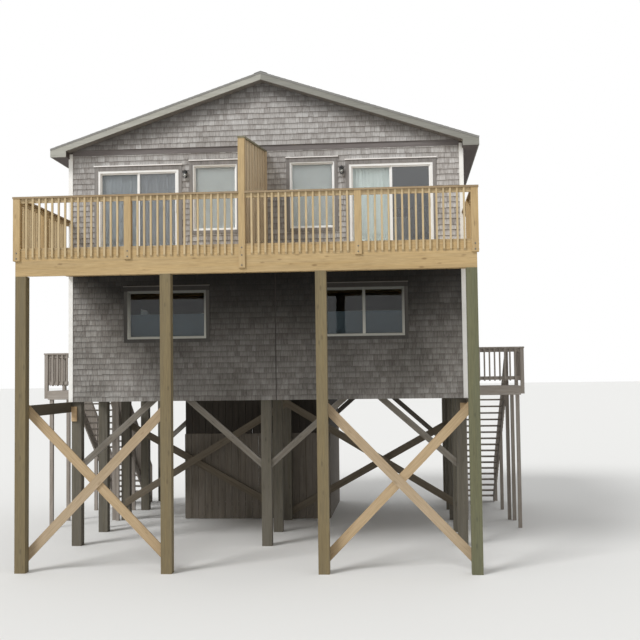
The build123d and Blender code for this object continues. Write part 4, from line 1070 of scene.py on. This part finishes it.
class BEACH_OT_lanterns(bpy.types.Operator):
    """Build the two wall lanterns beside the sliding doors: plate, arm, cage, glass and bulb"""
    bl_idname = "beach.lanterns"
    bl_label = "Lanterns"

    def execute(self, context):
        radius, before = 0.055, 0.048
        plate_half, plate_inset, plate_face, plate_back = 0.040, 0.015, 0.026, 0.013
        arm_half, arm_start, arm_end, arm_low, arm_high = 0.010, 0.015, 0.024, 0.140, 0.160
        bar_half, cage_foot, cage_head = 0.002, (0.034, 0.008), (0.052, 0.134)
        tray = ([0.036, 0.038, 0.038, 0.036], [0.0, 0.002, 0.007, 0.009])
        hood = ([0.055, 0.055, 0.050, 0.030, 0.012, 0.012, 0.007],
                [0.133, 0.139, 0.148, 0.168, 0.174, 0.182, 0.189])
        pane = ([0.031, 0.048], [0.010, 0.132])
        bulb = ([0.010, 0.010, 0.020, 0.026, 0.024, 0.014, 0.004],
                [0.012, 0.030, 0.045, 0.065, 0.080, 0.092, 0.096])
        angle = np.arange(6) * math.pi / 3
        outward = np.stack([np.cos(angle), np.sin(angle)], axis=1)
        square = bar_half * np.array([(-1, -1), (1, -1), (1, 1), (-1, 1)])
        low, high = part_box("lanterns")
        metal, glass, bulbs = [], [], []
        y, z = low.y + before, low.z
        for x in (low.x + radius, high.x - radius):
            middle = [(x, y, z)]
            metal.append(boards([(x - plate_half, FRONT_Y - plate_face, z + plate_inset),
                                 (x - arm_half, y + arm_start, z + arm_low)],
                                [(x + plate_half, FRONT_Y - plate_back, high.z - plate_inset),
                                 (x + arm_half, FRONT_Y - arm_end, z + arm_high)], 2, EASE))
            metal += [turned(*tray, middle, 6), turned(*hood, middle, 6)]
            rings = np.zeros((6, 2, 4, 3))
            for station, (reach, level) in enumerate((cage_foot, cage_head)):
                rings[:, station, :, :2] = (np.array([x, y]) + reach * outward)[:, None, :] + square
                rings[:, station, :, 2] = z + level
            metal.append(carried(rings))
            glass.append(turned(*pane, middle, 6))
            bulbs.append(turned(*bulb, middle, 12))
        black = painted("Black enamelled lantern metal", "#1B1B1C", "#3A3937", 0.45)
        frosted = painted("Frosted bulb glass", "#F3F1EA", "#E6E3DA", 0.4)
        add_piece("lantern_cages", joined(metal), black, "lantern_metal", ["lanterns"])
        add_piece("lantern_glass", joined(glass), clear_glass("Lantern glass"), "window_glass")
        add_piece("lantern_bulbs", joined(bulbs), frosted, "white_vinyl")
        return {"FINISHED"}


class BEACH_OT_bolts(bpy.types.Operator):
    """Put hex bolts with washers through the rail posts, the screen post, the ties and the braces"""
    bl_idname = "beach.bolts"
    bl_label = "Bolts"

    def execute(self, context):
        post_lifts, screen_lifts, tie_lifts = (0.05, 0.16), (0.05, 0.25, 0.40), (0.06, 0.175)
        corner, tie_behind = 0.070, 0.17
        brace_bolts = ((1.60, 3.22), (4.44, 0.29))
        low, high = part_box("rail_posts")
        middle_y = (DECK_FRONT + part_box("deck_floor")[1].y) / 2
        tie_low, tie_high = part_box("tie_beams")
        brace_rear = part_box("cross_braces_near")[1].y
        front_x = (-RAIL_POST_X, RAIL_POST_X, corner - high.x, high.x - corner)
        places = {"front": [(x, low.y, low.z + lift) for x in front_x for lift in post_lifts]}
        places["front"] += [(0.0, low.y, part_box("screen_post")[0].z + lift) for lift in screen_lifts]
        side_y = (low.y + corner, middle_y)
        places["right"] = [(high.x, y, low.z + lift) for y in side_y for lift in post_lifts]
        places["right"] += [(tie_high.x, FRONT_Y + tie_behind, tie_low.z + lift) for lift in tie_lifts]
        places["left"] = [(-x, y, z) for x, y, z in places["right"]]
        places["rear"] = [(sign * x, brace_rear, z) for sign in (-1, 1) for x, z in brace_bolts]
        washer = ([0.016, 0.016], [0.0, 0.002], 12)
        head = ([0.011, 0.011, 0.009], [0.002, 0.0085, 0.0095], 6)
        meshes = []
        for wall, centres in places.items():
            directions = WALLS[wall][1:]
            local = np.array(centres) @ np.array(directions, float).T
            for radii, heights, sides in (washer, head):
                meshes.append(on_plane(turned(radii, heights, local, sides), ((0, 0, 0), *directions)))
        add_piece("bolts", joined(meshes), steel(), "lantern_metal")
        return {"FINISHED"}


class BEACH_OT_finishes(bpy.types.Operator):
    """Give every solid of the part its finish"""
    bl_idname = "beach.finishes"
    bl_label = "Finishes"

    def execute(self, context):
        rim_back = DECK_FRONT + LUMBER + 0.002
        right_post, painted_screen_shade_reach, head_near = 4.0, 0.022, 0.06
        low_head = LOWER_FLOOR + LOW_SILL + LOW_WINDOW[1] + HEAD_CASING / 2
        casing = ("#94908D", "#7C7875", "#5A5553", 0.3, 0.4, "#9D9A97", 0.85)
        # Each timber has its axis of grain, its pale, middle and dark tone, its share of knots and of
        # weathering, its silver grey and its roughness
        finishes = [
            (timber("Treated pine rail", 2, "#CAAF80", "#B19567", "#80643E", 0.5, 0.18, "#9F947E"),
             "rail_posts screen_post"),
            (timber("Treated pine picket", 2, "#D0BA92", "#B8A27A", "#887150", 0.5, 0.2, "#AAA08D"),
             "front_rails side_rails"),
            (timber("Treated pine rail cap", 0, "#AA9472", "#937C5D", "#6B583D", 0.5, 0.35, "#8F8472"),
             "rail_caps"),
            (timber("Treated pine beam", 0, "#C4A97B", "#AC9163", "#7E633C", 0.8, 0.15, "#9D927C"),
             "deck_beam"),
            (timber("Treated pine framing", 1, "#CCB080", "#B39768", "#806741", 0.6, 0.2, "#978E79",
                    switch=(1, rim_back, 0)), "deck_frame"),
            (timber("Treated pine post", 2, "#83734F", "#6E6146", "#504530", 0.6, 0.2, "#736F5B",
                    tints=[(0, "GREATER_THAN", right_post, "#DCF5FC", 0.0)]), "deck_posts"),
            (timber("New pine brace", 0, "#B5A287", "#A28D70", "#7E694A", 0.5, lean=(-BRACE_SLOPE, 0, 0)),
             "cross_braces_near"),
            (timber("New pine crossing brace", 0, "#BCA583", "#A78F6D", "#826A47", 0.5,
                    lean=(BRACE_SLOPE, 0, 0)),
             "cross_braces_far"),
            (timber("New pine cleat", 0, "#C7AC86", "#B2956F", "#8A6E49", 0.5), "piling_cleats"),
            (timber("Dark old tie", 1, "#5E5442", "#4C4436", "#332D24", 0.3, 0.2, "#6A6558"), "tie_beams"),
            # Painted shade: the rails and the inner faces of the board layers, near the middle, are darker
            (timber("Treated pine screen board", 2, "#E8D1AC", "#CAB391", "#967F5E", 0.5, 0.35, "#B6AA97",
                    tints=[(0, "COMPARE", 0.0, "#A39E97", painted_screen_shade_reach)]), "screen_wall_board"),
            (timber("Weathered screen cap", 1, "#8B866C", "#736E57", "#514D3C", 0.3, 0.4, "#8A8878", 0.85),
             "screen_cap"),
            (timber("Weathered piling", 2, "#6C6656", "#555046", "#36332C", 0.5, 0.4, "#716D64", 0.85),
             "pilings_left pilings_centre pilings_right"),
            (timber("Weathered girder", 0, "#77705F", "#5F594C", "#3F3B33", 0.4, 0.45, "#7F7B73", 0.85),
             "girders"),
            (timber("Weathered knee brace", 0, "#857E72", "#6B655C", "#46423A", 0.4, 0.45, "#8E8B86", 0.85,
                    lean=(KNEE_SLOPE, KNEE_TURN_X, 0)), "knee_braces"),
            (timber("Weathered crossing brace", 0, "#776C5A", "#5F5546", "#3F392F", 0.4, 0.4, "#7F776A",
                    0.85, lean=(CROSSED_SLOPE, 0, CROSSED_SPLIT_Y)), "rear_cross_braces"),
            (timber("Weathered floor joist", 1, "#8A7A5E", "#6E6250", "#4A4237", 0.4, 0.3, "#7B766D", 0.85),
             "floor_joists"),
            (timber("Weathered landing timber", 2, "#A59C92", "#8B8278", "#635B53", 0.4, 0.5, "#A8A19A",
                    0.85),
             "landing_posts landing_rails landing_caps stairs stair_posts stair_rails"),
            (timber("Weathered casing board", 2, *casing), "other_casings"),
            # Painted shade: the front casings below the deck, and the low windows' head casings, are darker
            (timber("Weathered front casing board", 2, *casing, tints=[
                (2, "LESS_THAN", DECK_LOW, "#8C8C8A", 0.0),
                (2, "COMPARE", low_head, "#A8A4A0", head_near)]), "front_casings"),
            (timber("Weathered band board", 0, "#7C7573", "#6A6462", "#4B4645", 0.2, 0.3, "#827F7E", 0.85),
             "gable_bands"),
            # Painted shade: the rake boards and fascia on the right are darker, for light from the left
            (timber("Weathered rake board", 0, "#B2B1A6", "#A09F96", "#82817A", 0.2, 0.4, "#BAB9B2", 0.8,
                    tints=[(0, "GREATER_THAN", 0.0, "#D2D2D2", 0.0)]), "rake_boards fascias"),
            (timber("Wall sheathing", 0, "#6B625C", "#5A524D", "#453F3B", 0.0),
             "front_wall_upper rear_wall_lower rear_wall_upper side_walls_lower side_walls_upper gables"),
            # Painted shade: darker sheathing under the deck, seen through the shingles' joints and the seam
            (timber("Damp wall sheathing", 0, "#3E3936", "#322E2B", "#252220", 0.0), "front_wall_lower"),
            (timber("Plain floor board", 0, "#A58B66", "#8F7754", "#6B583D", 0.4), "lower_floor upper_floor"),
            (painted("Ceiling paint", "#CFCBC2", "#BFBAB0", 0.8), "upper_ceiling"),
            (painted("White trim paint", "#F6F5F1", "#DAD8D0", 0.5, 0.4), "corner_boards"),
            # The last colour of these two paints is laid on the front below the deck: partly weathering,
            # partly painted deck shade
            (painted("White drip cap paint", "#F6F3F0", "#DAD6D0", 0.5, 0.4, "#B0ABA4"), "drip_caps"),
            (painted("White vinyl frame", "#FAFAF8", "#E8E7E3", 0.35, 0.4, "#C8C9C1"),
             "sliding_door_frames front_window_frames other_frames"),
            (timber("Stained soffit board", 1, "#5A4E4A", "#483E3B", "#2F2927", 0.0, 0.1, "#6E6663"),
             "soffits"),
            (painted("Satin door paint", "#E8E7E2", "#D6D4CC", 0.4, 0.3), "entry_doors"),
            (clear_glass("Window glass"), "front_glass other_glass"),
            (timber("Roof sheathing", 1, "#8B8782", "#777370", "#5C5957", 0.0), "roof_right roof_left"),
        ]
        for material, names in finishes:
            for name in names.split():
                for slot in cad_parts[name].material_slots:
                    slot.material = material
        return {"FINISHED"}


class BEACH_OT_stage(bpy.types.Operator):
    """Set the pale floor, the soft light and the camera"""
    bl_idname = "beach.stage"
    bl_label = "Stage"

    def execute(self, context):
        settings = context.scene.beach_stage
        scene = context.scene
        mesh = bpy.data.meshes.new("floor")
        corners = [(x * FLOOR_REACH, y * FLOOR_REACH, 0) for x, y in ((-1, -1), (1, -1), (1, 1), (-1, 1))]
        mesh.from_pydata(corners, [], [(0, 1, 2, 3)])
        ground = bpy.data.objects.new("floor", mesh)
        scene.collection.objects.link(ground)
        mesh.materials.append(new_material("Plain pale floor", Base_Color=settings.floor, Roughness=0.9)[0])
        world = bpy.data.worlds.new("Soft sky")
        world.use_nodes = True
        scene.world = world
        tree = world.node_tree
        add = partial(add_node, tree)
        backdrop = tree.nodes["Background"]
        backdrop.inputs["Color"].default_value = (1, 1, 1, 1)
        backdrop.inputs["Strength"].default_value = 1.0
        sky = add("Background", {"Color": (1, 1, 1, 1), "Strength": settings.sky})
        seen = add("LightPath", out="Is Camera Ray")
        for kind in ("Is Glossy Ray", "Is Transmission Ray"):
            seen = add("Math", {0: seen, 1: add("LightPath", out=kind)}, operation="MAXIMUM")
        mix = add("MixShader", {0: seen, 1: sky, 2: backdrop.outputs[0]})
        tree.links.new(mix, tree.nodes["World Output"].inputs["Surface"])
        lamp = bpy.data.lights.new("soft_key", "SUN")
        lamp.energy = settings.key
        lamp.angle = math.radians(KEY_ANGLE)
        key = bpy.data.objects.new("soft_key", lamp)
        key.rotation_euler = [math.radians(angle) for angle in KEY_TURNS]
        scene.collection.objects.link(key)
        camera_data = bpy.data.cameras.new("camera")
        camera_data.lens = settings.lens
        camera_data.sensor_width = 36.0
        camera_data.clip_end = 1000.0
        camera = bpy.data.objects.new("camera", camera_data)
        yaw, pitch, roll = (math.radians(angle) for angle in CAMERA_TURNS)
        ahead = Vector((-math.sin(yaw) * math.cos(pitch), math.cos(yaw) * math.cos(pitch), math.sin(pitch)))
        level = Vector((math.cos(yaw), math.sin(yaw), 0.0))
        upright = level.cross(ahead)
        right = math.cos(roll) * level + math.sin(roll) * upright
        up = math.cos(roll) * upright - math.sin(roll) * level
        turn = Matrix((right, up, -ahead)).transposed()
        place = Matrix.Translation((CAMERA_X, FRONT_Y - CAMERA_BEFORE, CAMERA_Z))
        camera.matrix_world = place @ turn.to_4x4()
        scene.collection.objects.link(camera)
        scene.camera = camera
        scene.view_settings.view_transform = "Standard"
        return {"FINISHED"}


class BEACH_PT_house(bpy.types.Panel):
    """Sizes, colours and steps of the beach house"""
    bl_label = "Beach House"
    bl_idname = "BEACH_PT_house"
    bl_space_type = "VIEW_3D"
    bl_region_type = "UI"
    bl_category = "Beach House"

    def draw(self, context):
        for group in SETTINGS:
            settings = getattr(context.scene, group)
            for name in settings.__annotations__:
                self.layout.prop(settings, name)
        for operator in OPERATORS:
            self.layout.operator(operator.bl_idname)


SETTINGS = {"beach_shingles": ShingleSizes, "beach_roof": RoofSizes, "beach_timber": TimberSizes,
            "beach_stage": StageSettings}
OPERATORS = (BEACH_OT_stage, BEACH_OT_finishes, BEACH_OT_wall_shingles, BEACH_OT_trim, BEACH_OT_roof_shingles,
             BEACH_OT_deck_boards, BEACH_OT_landing_boards, BEACH_OT_privacy_screen, BEACH_OT_store_boards,
             BEACH_OT_blinds, BEACH_OT_door_fittings, BEACH_OT_lanterns, BEACH_OT_bolts)


def register():
    for kind in (*SETTINGS.values(), *OPERATORS, BEACH_PT_house):
        bpy.utils.register_class(kind)
    for group, kind in SETTINGS.items():
        setattr(bpy.types.Scene, group, bpy.props.PointerProperty(type=kind))


def unregister():
    for group in SETTINGS:
        delattr(bpy.types.Scene, group)
    for kind in (BEACH_PT_house, *reversed(OPERATORS), *SETTINGS.values()):
        bpy.utils.unregister_class(kind)


def main():
    register()
    for operator in OPERATORS:
        family, step = operator.bl_idname.split(".")
        getattr(getattr(bpy.ops, family), step)()


if __name__ == "__main__":
    main()
